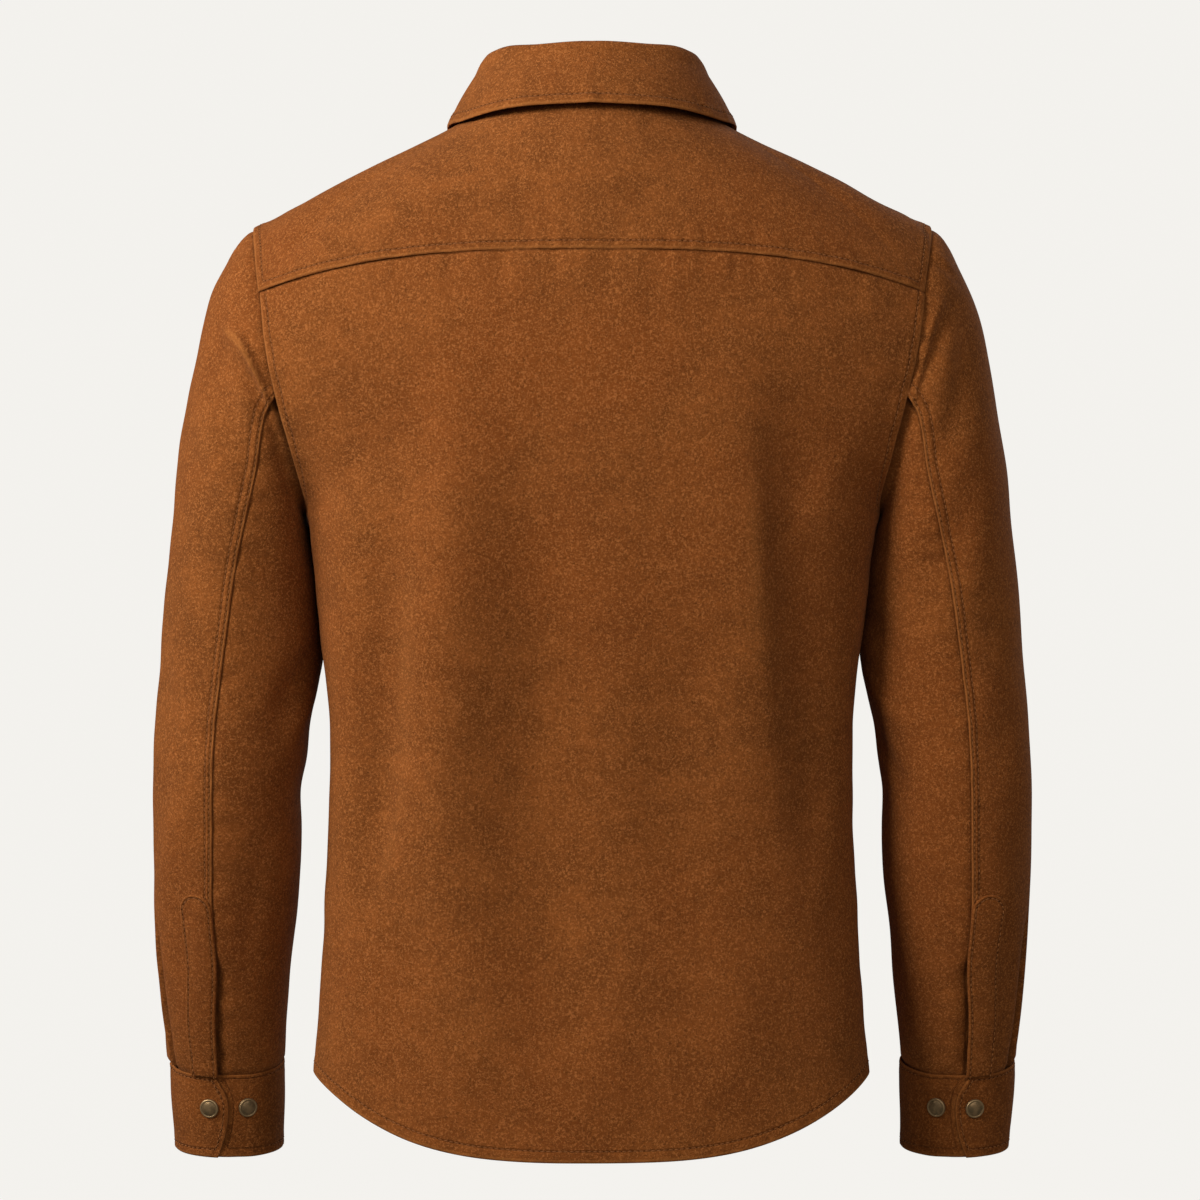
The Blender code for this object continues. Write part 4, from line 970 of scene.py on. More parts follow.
def front_cloth(start, folds_side, seed):
    """A front, as the wearer's left one, from a distance beyond the centre line out to its side."""
    span = FRONT_HALF_SPAN - start
    half = panel_lines(span, LAP_LINES, LAP_LINES, FRONT_SPACING) * span
    rows = []
    for level in front_levels:
        first = start / runs(front_row(level))[-1]
        across = first + (1 - first) * half / half[-1]
        across[int(np.argmin(np.abs(across - FRONT_CORNER)))] = FRONT_CORNER
        rows.append(front_points(level, across))
    cloth = Cloth(np.stack(rows), BODY_MIDDLE)
    x, z = cloth.grid[..., 0], cloth.grid[..., 2]
    corner = int(np.argmin(np.linalg.norm(cloth.grid[0] - neckline[-1], axis=1)))
    run_in = 1 - np.clip(np.abs(x) / FRONT_FOLDS_END, 0.0, 1.0) ** 6
    cloth.fold(FRONT_FOLDS, x * folds_side, z, run_in)
    cloth.fold(FRONT_CREASES, x * folds_side, z, run_in)
    cloth.swell(wavelength=0.100, high=0.0007, seed=seed)
    cloth.swell(wavelength=0.038, high=0.0002, seed=seed + 1)
    top, hem, armhole = cloth.edge("top"), cloth.edge("foot"), cloth.edge("last", 0, front_underarm + 1)
    cloth.calm(top, share=0.8, reach=0.014)
    cloth.under(cloth.edge("top", corner))
    cloth.join(cloth.edge("top", 0, corner + 1))
    cloth.lap(armhole)
    cloth.join(cloth.edge("last", front_underarm))
    cloth.turn_up(hem)
    cloth.pucker(top, x, seed=seed + 2, high=0.0004)
    cloth.pucker(armhole, z, seed=seed + 3, high=0.0004)
    cloth.pucker(hem, x, seed=seed + 4, high=0.0004, reach=0.010, wavelength=0.024)
    cloth.sew(armhole, LAP_ROW, "last", first=0.02,
              last=(front_underarm - ARMHOLE_BARE_ROWS) / (len(front_levels) - 1))
    return cloth, hem


front_suede = suede_finish("suede_front")
left_front, left_hem = front_cloth(BAND_WIDTH / 2, 1.0, 31)
left_front.under(left_front.edge("first"))
left_front.sew(left_hem, HEM_ROW, "foot", first=0.02, last=1.0)
for side in ("top", "first"):
    run_on(left_front, side)
finish_cloth("front_left_suede", "front_left", left_front, front_suede)

right_front, right_hem = front_cloth(-BAND_WIDTH / 2, -1.0, 41)
past_edge = BAND_WIDTH / 2 + STEP_UNDER + UNDER_MARGIN - right_front.grid[..., 0]
right_front.height -= BAND_STEP * ease(past_edge / STEP_UNDER)
right_front.sew(right_hem, HEM_ROW, "foot", first=0.02, last=1.0)
run_on(right_front, "top")
finish_cloth("front_right_suede", "front_right", right_front, front_suede, mirror=-1.0)


# ------------------------------------------------------------------------------------------------
# Front band: the doubled strip of suede that carries the snaps, down the middle of the front.
# Its edges are turned in and topstitched, and it lies over both fronts.
DOUBLED_THICKNESS = 0.0016
BAND_LIFT = 0.0004
BAND_ROW = 0.0050
BAND_LINES = (0.0004, 0.0009, 0.0016, 0.0026, 0.0038, 0.0050, 0.0062, 0.0080)

band_places = panel_lines(BAND_WIDTH, BAND_LINES, BAND_LINES, FRONT_SPACING) * BAND_WIDTH - BAND_WIDTH / 2
rows = [front_points(level, band_places / runs(front_row(level))[-1]) for level in front_levels]
band = Cloth(np.stack(rows), BODY_MIDDLE)
band_edge = band.edges("first", "last")
band_hem = band.edge("foot")
band.swell(wavelength=0.060, high=0.0003, seed=51)
band.lap(np.minimum(band_edge, band_hem), BAND_ROW, rise=0.0004, beyond=0.004)
band.pucker(band_edge, band.grid[..., 2], seed=52, high=0.0003, reach=0.008)
band.height += BAND_LIFT
for side in ("first", "last"):
    band.sew(band_edge, BAND_ROW, side, first=0.0, last=0.992)
band.sew(band_hem, BAND_ROW, "foot", first=0.12, last=0.88)
finish_cloth("front_band_suede", "front_band", band, front_suede,
             thickness=DOUBLED_THICKNESS)


# ------------------------------------------------------------------------------------------------
# Collar stand: the doubled upright strip of suede round the neck, whose ends lap as the front band does.
# The neck edges of yoke and fronts are sewn up into its foot.
BAND_NECK_ANGLE = 180.0 - math.degrees(math.asin(BAND_WIDTH / 2 / NECK_HALF_WIDTH))
COLLAR_MIDDLE = (0.0, 0.0, 0.0)
StandWidth = namedtuple("StandWidth", "angle width")
STAND_WIDTHS = (
    StandWidth(0.0, 0.0300),
    StandWidth(30.0, 0.0312),
    StandWidth(54.0, 0.0345),
    StandWidth(75.0, 0.0336),
    StandWidth(95.0, 0.0285),
    StandWidth(120.0, 0.0275),
    StandWidth(180.0, 0.0270),
)
STAND_LEAN = 0.0075
STAND_STEP_ANGLE = 11.0
STAND_BULGE = 0.001
STAND_ROW = 0.0030
STAND_COLUMNS = 210
STAND_SPAN = 0.034
STAND_SPACING = 0.0030
STAND_SHADE = 0.94


def seam_point(angle):
    """The collar seam, which runs straight over each half of the front band."""
    share = np.expand_dims(np.maximum((np.abs(angle) - BAND_NECK_ANGLE) / (180.0 - BAND_NECK_ANGLE), 0.0), -1)
    edge = neck_point(np.clip(angle, -BAND_NECK_ANGLE, BAND_NECK_ANGLE))
    return edge * (1 - share) + neck_point(180.0) * share


def stand_lines(angle, inward):
    """The collar stand's foot and top, moved in where it is the under layer."""
    foot = seam_point(angle)
    front = (1 - np.cos(np.radians(np.abs(angle)))) / 2
    heading = unit(foot * np.array([1.0, 1.0, 0.0]))
    rise = read(STAND_WIDTHS, "width", np.abs(angle))
    lean = STAND_LEAN * (1 - 0.5 * front)
    top = foot + np.stack([-heading[:, 0] * lean, -heading[:, 1] * lean, rise], axis=-1)
    return foot - heading * inward[:, None], top - heading * inward[:, None]


reach = 180.0 - BAND_NECK_ANGLE
angles = np.linspace(-180.0 - reach, 180.0 + reach, STAND_COLUMNS)
inward = BAND_STEP * ease((-angles - 180.0 + reach + STAND_STEP_ANGLE) / STAND_STEP_ANGLE)
foot, top = stand_lines((angles + 180.0) % 360.0 - 180.0, inward)
shares = panel_lines(STAND_SPAN, BAND_LINES[:6], BAND_LINES[:6], STAND_SPACING)[:, None, None]
stand = Cloth(top[None] + (foot - top)[None] * shares, COLLAR_MIDDLE)
stand.height += (np.sin(math.pi * shares) * STAND_BULGE)[..., 0]
stand.swell(wavelength=0.050, high=0.0003, seed=61)
stand.lap(stand.edge("foot"), STAND_ROW, rise=0.0004, beyond=0.004)
stand.join(stand.edge("top"))
stand.sew(stand.edge("foot"), STAND_ROW, "foot", first=0.02, last=0.98)
stand_suede = suede_finish("suede_collar_stand", STAND_SHADE)
finish_cloth("collar_stand_suede", "collar_stand", stand, stand_suede,
             DOUBLED_THICKNESS)


# ------------------------------------------------------------------------------------------------
# Collar fall: the turned-down part with its two points, of doubled suede. It rolls over the stand and lies on
# the yoke, and its edge is turned, pressed to a soft roll and topstitched all round.
FallEdge = namedtuple("FallEdge", "angle x y z")
FALL_EDGE = (
    FallEdge(0.0, 0.000, 0.0880, -0.0060),
    FallEdge(35.0, 0.0560, 0.0760, -0.0085),
    FallEdge(65.0, 0.0897, 0.0420, -0.0135),
    FallEdge(90.0, 0.1006, 0.0020, -0.0140),
    FallEdge(115.0, 0.0990, -0.0320, -0.0235),
    FallEdge(140.0, 0.0890, -0.0540, -0.0440),
    FallEdge(160.0, 0.0720, -0.0760, -0.0730),
    FallEdge(172.0, 0.0560, -0.0930, -0.0960),
)
RollLine = namedtuple("RollLine", "up out")
ROLL_LINES = (
    RollLine(0.0000, 0.0000),
    RollLine(0.0030, 0.0006),
    RollLine(0.0042, 0.0028),
    RollLine(0.0016, 0.0055),
)
FALL_SHARES = (0.22, 0.45, 0.68, 0.86, 1.0)
FALL_ROW = 0.0072
FALL_LINES = (0.0004, 0.0009, 0.0016, 0.0026, 0.0040, 0.0054, 0.0064, 0.0072, 0.0080, 0.0092, 0.0110)
FALL_BULGE = 0.0016
FALL_ROLL = 0.012
FALL_ROWS = 22
FALL_SHADE = 0.97
FALL_COLUMN_SPACING = 0.0028


def smooth_line(points, count=90):
    """A soft curve through a few points."""
    place = runs(points)
    slopes = np.gradient(points, place, axis=0)
    at = np.linspace(0.0, place[-1], count)
    low = np.clip(np.searchsorted(place, at, side="right") - 1, 0, len(place) - 2)
    span = (place[low + 1] - place[low])[:, None]
    share = (at - place[low])[:, None] / span
    return hermite(share, span, points[low], points[low + 1], slopes[low], slopes[low + 1])


last_angle = FALL_EDGE[-1].angle
dense = np.linspace(-last_angle, last_angle, 700)
edge_line = np.stack([read(FALL_EDGE, k, np.abs(dense)) for k in "xyz"], axis=-1)
edge_line[:, 0] *= np.sign(dense)
edge_run = runs(edge_line)
places = panel_lines(edge_run[-1], FALL_LINES, FALL_LINES, FALL_COLUMN_SPACING) * edge_run[-1]
angles = np.interp(places, edge_run, dense)
foot, top = stand_lines(angles, np.zeros(len(angles)))
heading = unit(foot * np.array([1.0, 1.0, 0.0]))
edge = np.stack([np.interp(places, edge_run, edge_line[:, k]) for k in range(3)], axis=-1)
rows = [top + np.array([0.0, 0.0, 1.0]) * line.up + heading * line.out for line in ROLL_LINES]
rows += [rows[-1] + (edge - rows[-1]) * share for share in FALL_SHARES]
columns = []
for column in np.stack(rows).transpose(1, 0, 2):
    line = smooth_line(column)
    columns.append(along(line, row_places(runs(line)[-1], FALL_ROWS, FALL_LINES)))
fall = Cloth(np.stack(columns, axis=1), COLLAR_MIDDLE)
fall_edge = fall.edges("foot", "first", "last")
past_roll = fall.edge("top") - FALL_ROLL
fall_share = np.clip(past_roll / np.maximum(past_roll + fall_edge, 0.01), 0.0, 1.0)
fall.height += FALL_BULGE * np.sin(math.pi * fall_share)
fall.swell(wavelength=0.070, high=0.0004, seed=71)
fall.lap(fall_edge, FALL_ROW, rise=0.0009, beyond=0.004)
fall.pucker(fall_edge, fall.grid[..., 0] + fall.grid[..., 1], seed=72, high=0.0003, reach=0.010)
fall.sew(fall_edge, FALL_ROW, "foot", first=0.016, last=0.984)
for side in ("first", "last"):
    fall.sew(fall_edge, FALL_ROW, side, first=0.04, last=0.80)
fall_suede = suede_finish("suede_collar", FALL_SHADE)
finish_cloth("collar_fall_suede", "collar_fall", fall, fall_suede)


# ------------------------------------------------------------------------------------------------
# Sleeves: two pieces of suede each, a top sleeve and an under sleeve, set into the armholes.
# The top sleeve laps over the other along the back seam, stitched twice there, and a pleat ends in the cuff.
SleeveRing = namedtuple("SleeveRing", "step out_x out_y out_z in_x in_y in_z half_depth back_seam")
SLEEVE_RINGS = (
    SleeveRing(0, 0.2365, 0.000, -0.0850, 0.1980, 0.022, -0.2850, 0.0660, 102.0),
    SleeveRing(1, 0.2448, 0.000, -0.0925, 0.1992, 0.018, -0.2858, 0.0675, 103.0),
    SleeveRing(2, 0.2540, 0.000, -0.1070, 0.2000, 0.014, -0.2875, 0.0690, 103.0),
    SleeveRing(3, 0.2670, 0.000, -0.1340, 0.1990, 0.010, -0.2910, 0.0708, 104.0),
    SleeveRing(4, 0.2772, 0.000, -0.1760, 0.1966, 0.005, -0.2980, 0.0722, 103.0),
    SleeveRing(5, 0.2849, 0.000, -0.2180, 0.1942, 0.000, -0.3110, 0.0727, 99.0),
    SleeveRing(6, 0.2905, -0.002, -0.2600, 0.1914, -0.003, -0.3300, 0.0725, 93.0),
    SleeveRing(7, 0.2950, -0.004, -0.3020, 0.1908, -0.005, -0.3530, 0.0710, 88.0),
    SleeveRing(8, 0.2996, -0.006, -0.3460, 0.1885, -0.006, -0.3800, 0.0685, 84.0),
    SleeveRing(9, 0.3026, -0.006, -0.3900, 0.1925, -0.006, -0.4080, 0.0655, 82.5),
    SleeveRing(10, 0.3055, -0.004, -0.4300, 0.1968, -0.004, -0.4380, 0.0630, 82.0),
    SleeveRing(11, 0.3074, -0.003, -0.4700, 0.1996, -0.003, -0.4720, 0.0610, 82.5),
    SleeveRing(12, 0.3077, -0.006, -0.5100, 0.2030, -0.006, -0.5100, 0.0580, 83.5),
    SleeveRing(13, 0.3073, -0.012, -0.5500, 0.2062, -0.012, -0.5500, 0.0545, 84.0),
    SleeveRing(14, 0.3062, -0.020, -0.5900, 0.2104, -0.020, -0.5900, 0.0500, 88.0),
    SleeveRing(15, 0.3040, -0.029, -0.6300, 0.2141, -0.029, -0.6300, 0.0450, 86.0),
    SleeveRing(16, 0.2998, -0.038, -0.6700, 0.2178, -0.038, -0.6700, 0.0405, 86.0),
    SleeveRing(17, 0.2990, -0.042, -0.6960, 0.2182, -0.042, -0.6960, 0.0395, 86.0),
    SleeveRing(18, 0.2958, -0.046, -0.7320, 0.2190, -0.046, -0.7320, 0.0385, 86.0),
)
ARMHOLE_REACH = 5.0
CUFF_TOP_STEP = 16.0
FRONT_SEAM_ANGLE = 262.0
TOP_SPACING = 0.0028
UNDER_SPACING = 0.0032
# On a sleeve, u is the angle round it and v the way down it, both as metres along the cloth.
ANGLE_RUN = 0.00105
STEP_RUN = 0.040
SEAM_ROW = 0.0022
SECOND_ROW_TOP = 0.0088
SECOND_ROW_LOW = 0.0052
SECOND_ROW_LOW_STEP = 12.0
SEAM_LINES = (0.0004, 0.0009, 0.0015, 0.0022, 0.0029, 0.0040, 0.0052, 0.0062, 0.0074, 0.0088, 0.0104)
END_LINES = (0.0005, 0.0012, 0.0022, 0.0038)

# Soft creases across the sleeve: they cross an angle and a step, and slant with the angle.
Crease = namedtuple("Crease", "angle step half_angle half_steps slant depth")
SLEEVE_CREASES = (
    Crease(60.0, 3.6, 30.0, 0.8, 0.020, -0.0040),
    Crease(96.0, 6.6, 30.0, 0.9, 0.015, -0.0035),
    Crease(250.0, 10.2, 60.0, 0.7, 0.006, -0.0055),
    Crease(170.0, 11.2, 50.0, 0.6, -0.004, -0.0040),
    Crease(262.0, 12.6, 45.0, 0.6, -0.008, -0.0040),
)
# The pleat opens downwards: a sharp lip at its angle, which turns with the steps, and a soft slope beside it.
PLEAT_ANGLE = 22.0
PLEAT_TURN = 3.0
PLEAT_TOP_STEP = 13.0
PLEAT_OPENING_STEPS = 1.2
PLEAT_DEPTH = 0.0062
PLEAT_SLOPE_ANGLE = 9.0
PLEAT_LIP_ANGLE = 1.4
PLEAT_SHADE = 1.3
PLEAT_SHADE_TURN = 1.6
PLEAT_SHADE_ANGLE = 3.2
# The under sleeve sinks beneath the back at the armpit, beside the slit and under the cuff's lower end.
ARMPIT_DIP = 0.0042
ARMPIT_REACH = 0.016
ARMPIT_END_ANGLE = 155.0
ARMPIT_RUN_OUT_ANGLE = 35.0
ARMPIT_SHADE_REACH = 0.011
SLIT_TOP_STEP = 13.7
SLIT_DEPTH = 0.0042
SLIT_REACH = 0.0075
SLIT_OPENING_STEPS = 0.5
SLIT_END_REACH = 0.012
SLIT_SHADE_STEPS = 0.4
SLIT_SHADE_REACH = 0.0024
CUFF_DIP = 0.0014
TAB_DIP = 0.0024
TAB_DIP_REACH = 0.014
CUFF_TAB_ANGLE = 96.0
CUFF_STEP_START = 5.0
CUFF_STEP_ANGLE = 22.0
TOP_SLEEVE_SPAN = 0.215
UNDER_SLEEVE_SPAN = 0.170
SLEEVE_SHADE = 1.02
# The strength of the painted highlight on the sleeves' crests.
CREST_HIGHLIGHT = 2.8


def arm_fold(angle, step, end_angle, end_step, bow, right, left, depth):
    """A sleeve's fold between two places, each an angle round it and a step down it."""
    start, end = (angle * ANGLE_RUN, -step * STEP_RUN), (end_angle * ANGLE_RUN, -end_step * STEP_RUN)
    return Fold(*start, *end, bow, right, left, depth)


SLEEVE_FOLDS = {
    "left": (
        arm_fold(42.0, 3.2, 112.0, 0.6, 0.001, 0.012, 0.0045, 0.0052),
        arm_fold(56.0, 3.5, 120.0, 1.1, 0.001, 0.012, 0.010, -0.0036),
        arm_fold(172.0, 7.4, 118.0, 10.4, 0.004, 0.013, 0.011, -0.0042),
        arm_fold(182.0, 8.6, 132.0, 10.9, 0.004, 0.010, 0.009, 0.0026),
        arm_fold(60.0, 4.6, 92.0, 7.6, -0.006, 0.016, 0.020, 0.0020),
        arm_fold(20.0, 8.2, 62.0, 10.8, 0.006, 0.018, 0.014, -0.0020),
        arm_fold(72.0, 10.6, 30.0, 13.4, 0.006, 0.016, 0.014, 0.0018),
        arm_fold(128.0, 11.4, 110.0, 14.6, 0.004, 0.014, 0.012, -0.0022),
        arm_fold(60.0, 12.2, 46.0, 15.4, -0.003, 0.012, 0.012, -0.0016),
        arm_fold(235.0, 8.2, 190.0, 10.2, 0.003, 0.012, 0.010, -0.0028),
        arm_fold(-20.0, 3.0, -70.0, 1.4, 0.004, 0.012, 0.010, -0.0022),
        arm_fold(-60.0, 8.8, -10.0, 10.0, 0.004, 0.014, 0.012, -0.0024),
        arm_fold(-76.0, 10.2, -30.0, 11.8, 0.004, 0.013, 0.014, 0.0020),
    ),
    "right": (
        arm_fold(34.0, 3.0, 104.0, 1.0, -0.003, 0.016, 0.012, -0.0030),
        arm_fold(44.0, 2.2, 96.0, 0.5, -0.002, 0.012, 0.012, 0.0016),
        arm_fold(176.0, 8.2, 112.0, 10.2, -0.004, 0.012, 0.014, 0.0034),
        arm_fold(180.0, 9.4, 124.0, 11.4, -0.004, 0.011, 0.011, -0.0030),
        arm_fold(164.0, 7.0, 120.0, 8.8, 0.003, 0.012, 0.012, -0.0026),
        arm_fold(56.0, 5.4, 88.0, 8.4, 0.006, 0.020, 0.016, 0.0020),
        arm_fold(30.0, 9.2, 70.0, 11.2, -0.005, 0.016, 0.018, -0.0022),
        arm_fold(76.0, 11.6, 40.0, 14.2, 0.005, 0.014, 0.016, 0.0018),
        arm_fold(124.0, 12.0, 112.0, 15.0, 0.003, 0.014, 0.012, -0.0020),
        arm_fold(58.0, 12.6, 50.0, 15.6, 0.003, 0.012, 0.012, -0.0015),
        arm_fold(230.0, 8.8, 186.0, 10.8, 0.003, 0.010, 0.012, -0.0026),
        arm_fold(-16.0, 2.6, -66.0, 1.6, -0.004, 0.010, 0.012, -0.0022),
        arm_fold(-64.0, 9.2, -16.0, 10.6, -0.004, 0.012, 0.014, -0.0024),
        arm_fold(-70.0, 10.8, -24.0, 12.4, 0.004, 0.014, 0.013, 0.0019),
    ),
}

# Crests on each sleeve that carry a painted highlight.
SLEEVE_CRESTS = {
    "left": (arm_fold(44.0, 3.1, 110.0, 0.8, 0.001, 0.004, 0.003, 0.0020),),
    "right": (arm_fold(150.0, 8.6, 106.0, 10.6, 0.002, 0.016, 0.016, 0.0008),),
}


def sleeve_point(step, angle):
    """A point of the left sleeve's surface, before its creases. Step 0 is the armhole."""
    step, turn = np.asarray(step, float), np.radians(angle)
    out = np.stack([read(SLEEVE_RINGS, f"out_{k}", step) for k in "xyz"], axis=-1)
    inner = np.stack([read(SLEEVE_RINGS, f"in_{k}", step) for k in "xyz"], axis=-1)
    middle, half = (out + inner) / 2, (out - inner) / 2
    depth = read(SLEEVE_RINGS, "half_depth", step)
    later = read(SLEEVE_RINGS, "out_y", step + 0.5) - read(SLEEVE_RINGS, "out_y", step - 0.5)
    fall = read(SLEEVE_RINGS, "out_z", step + 0.5) - read(SLEEVE_RINGS, "out_z", step - 0.5)
    pitch = np.where(step > 9, np.clip(later / fall, 0.0, 0.2), 0.0)
    cos, sin = np.cos(turn), np.sin(turn)
    near = 1 - ease(step / ARMHOLE_REACH)
    around = np.asarray(angle) % 360.0
    point = np.array(middle + np.expand_dims(cos, -1) * half, float)
    point[..., 0] += near * read(ARMHOLE_MARKS, "shift_x", around)
    point[..., 1] += near * read(ARMHOLE_MARKS, "shift_y", around) + depth * sin
    point[..., 2] -= pitch * depth * sin
    return point


def section_middles(steps):
    return np.stack([(sleeve_point(step, 0.0) + sleeve_point(step, 180.0)) / 2 for step in steps])


def sleeve_steps(spacing):
    """Steps at even distances down the sleeve's back, closer at both its ends."""
    fine = np.linspace(0.0, CUFF_TOP_STEP, 400)
    down = runs(np.stack([sleeve_point(step, 60.0) for step in fine]))
    return np.interp(panel_lines(down[-1], END_LINES, END_LINES, spacing) * down[-1], down, fine)


def crease_depth(steps, angles):
    """How far the soft creases sink each point."""
    depth = np.zeros(np.broadcast(steps, angles).shape)
    for crease in SLEEVE_CREASES:
        turn = (angles - crease.angle + 180.0) % 360.0 - 180.0
        off = (steps - crease.step - crease.slant * turn) / crease.half_steps
        depth += crease.depth * np.exp(-((turn / crease.half_angle) ** 2) - off * off)
    return depth * ease(steps / 2.5)


def sleeve_cloth(steps, angles, side, seed):
    """A sleeve piece with its folds, on rows of angles at steps down the sleeve."""
    grid = np.stack([sleeve_point(step, row) for step, row in zip(steps, angles)])
    cloth = Cloth(grid, section_middles(steps))
    down = np.broadcast_to(steps[:, None], angles.shape)
    cloth.height += crease_depth(down, angles)
    run_in = ease(down / 0.8) * ease((CUFF_TOP_STEP - down) / 0.5)
    cloth.fold(SLEEVE_FOLDS[side], angles * ANGLE_RUN, -down * STEP_RUN, run_in)
    cloth.swell(wavelength=0.080, high=0.0006, seed=seed)
    cloth.swell(wavelength=0.034, high=0.0002, seed=seed + 1)
    return cloth, down


SIDES = (("left", 1.0, 0), ("right", -1.0, 50))
top_steps = sleeve_steps(TOP_SPACING)
under_steps = sleeve_steps(UNDER_SPACING)
sleeve_suede = suede_finish("suede_sleeve", SLEEVE_SHADE)
for side, mirror, seed in SIDES:
    seams = read(SLEEVE_RINGS, "back_seam", top_steps)
    shares = panel_lines(TOP_SLEEVE_SPAN, SEAM_LINES, LAP_LINES[:5], TOP_SPACING)
    angles = seams[:, None] - (seams[:, None] - FRONT_SEAM_ANGLE + 360.0) * shares
    top_sleeve, down = sleeve_cloth(top_steps, angles, side, 81 + seed)
    seam, armhole, end = (top_sleeve.edge(label) for label in ("first", "top", "foot"))
    turn = angles - PLEAT_ANGLE - PLEAT_TURN * (down - CUFF_TOP_STEP)
    opening = ease((down - PLEAT_TOP_STEP) / PLEAT_OPENING_STEPS)
    pleat = np.where(turn > 0, bell(turn / PLEAT_SLOPE_ANGLE), ease(1 + turn / PLEAT_LIP_ANGLE))
    top_sleeve.height -= PLEAT_DEPTH * opening * pleat
    # Painted shade in the pleat's opening.
    top_sleeve.painted_light_and_shade -= PLEAT_SHADE * opening * bell((turn - PLEAT_SHADE_TURN) / PLEAT_SHADE_ANGLE)
    top_sleeve.fold(SLEEVE_CRESTS[side], angles * ANGLE_RUN, -down * STEP_RUN, ease(down / 0.5), CREST_HIGHLIGHT)
    second = np.interp(top_steps, [0.0, SECOND_ROW_LOW_STEP], [SECOND_ROW_TOP, SECOND_ROW_LOW])[:, None]
    outer_row = seam * SECOND_ROW_LOW / second
    top_sleeve.under(armhole)
    top_sleeve.under(end, CUFF_DIP)
    top_sleeve.lap(seam, SEAM_ROW, rise=0.0008, beyond=0.006)
    top_sleeve.dent(outer_row, SECOND_ROW_LOW)
    top_sleeve.join(top_sleeve.edge("last"))
    x, y, z = (top_sleeve.grid[..., k] for k in range(3))
    top_sleeve.pucker(armhole, z - y, seed=83 + seed, high=0.0006, reach=0.018)
    top_sleeve.pucker(seam, z, seed=84 + seed, high=0.0004, reach=0.012)
    top_sleeve.pucker(end, x + y, seed=85 + seed, high=0.0006, reach=0.014, wavelength=0.016)
    top_sleeve.sew(seam, SEAM_ROW, "first", first=0.004, last=0.995)
    top_sleeve.sew(outer_row, SECOND_ROW_LOW, "first", first=0.004, last=0.80)
    for label in ("top", "foot"):
        run_on(top_sleeve, label)
    finish_cloth(f"top_sleeve_{side}_suede", f"top_sleeve_{side}", top_sleeve, sleeve_suede,
                 mirror=mirror)

    seams = read(SLEEVE_RINGS, "back_seam", under_steps)
    shares = panel_lines(UNDER_SLEEVE_SPAN, END_LINES, LAP_LINES[:5], UNDER_SPACING)
    angles = seams[:, None] + (FRONT_SEAM_ANGLE - seams[:, None]) * shares
    under_sleeve, down = sleeve_cloth(under_steps, angles, side, 81 + seed)
    seam, armhole, end = (under_sleeve.edge(label) for label in ("first", "top", "foot"))
    for edge in (armhole, seam):
        under_sleeve.under(edge)
    behind = ease((ARMPIT_END_ANGLE - angles) / ARMPIT_RUN_OUT_ANGLE)
    under_sleeve.height -= ARMPIT_DIP * (1 - ease(armhole / ARMPIT_REACH)) * behind
    # Painted shade at the armpit, beside the back's edge.
    under_sleeve.painted_light_and_shade -= 1 - ease(armhole / ARMPIT_SHADE_REACH)
    under_sleeve.under(end, CUFF_DIP)
    below_slit_top = down - SLIT_TOP_STEP
    slit = ease(below_slit_top / SLIT_OPENING_STEPS) * ease(end / SLIT_END_REACH) * bell(seam / SLIT_REACH)
    under_sleeve.height -= SLIT_DEPTH * slit
    # Painted shade in the slit beside the back seam.
    under_sleeve.painted_light_and_shade -= ease(below_slit_top / SLIT_SHADE_STEPS) * bell(seam / SLIT_SHADE_REACH)
    under_tab = 1 - ease((angles - CUFF_TAB_ANGLE - CUFF_STEP_START) / CUFF_STEP_ANGLE)
    under_sleeve.height -= TAB_DIP * under_tab * (1 - ease(end / TAB_DIP_REACH))
    under_sleeve.join(under_sleeve.edge("last"))
    under_sleeve.pucker(seam, under_sleeve.grid[..., 2], seed=86 + seed, high=0.0005, reach=0.014)
    for label in ("top", "foot", "first"):
        run_on(under_sleeve, label)
    finish_cloth(f"under_sleeve_{side}_suede", f"under_sleeve_{side}", under_sleeve, sleeve_suede,
                 mirror=mirror)


# ------------------------------------------------------------------------------------------------
# Sleeve plackets: a stitched-on strip of suede with a rounded top beside each back seam, above the cuff.
# The edge towards the body is free below, so that the sleeve opens there; the stitches go round the top.
PLACKET_ANGLE = 28.0
PLACKET_LIFT = 0.0017
PLACKET_ROW = 0.0026
PLACKET_ROUND = 0.30
PLACKET_LINES = (0.0004, 0.0009, 0.0016, 0.0026, 0.0036, 0.0050)
PLACKET_TOP_STEP = 12.72
PLACKET_STEPS = CUFF_TOP_STEP - PLACKET_TOP_STEP
PLACKET_WIDTH, PLACKET_WIDTH_SPACING = 0.022, 0.0024
PLACKET_LENGTH, PLACKET_SPACING = 0.122, 0.0028
PLACKET_HIGHLIGHT_SHARE = 0.4

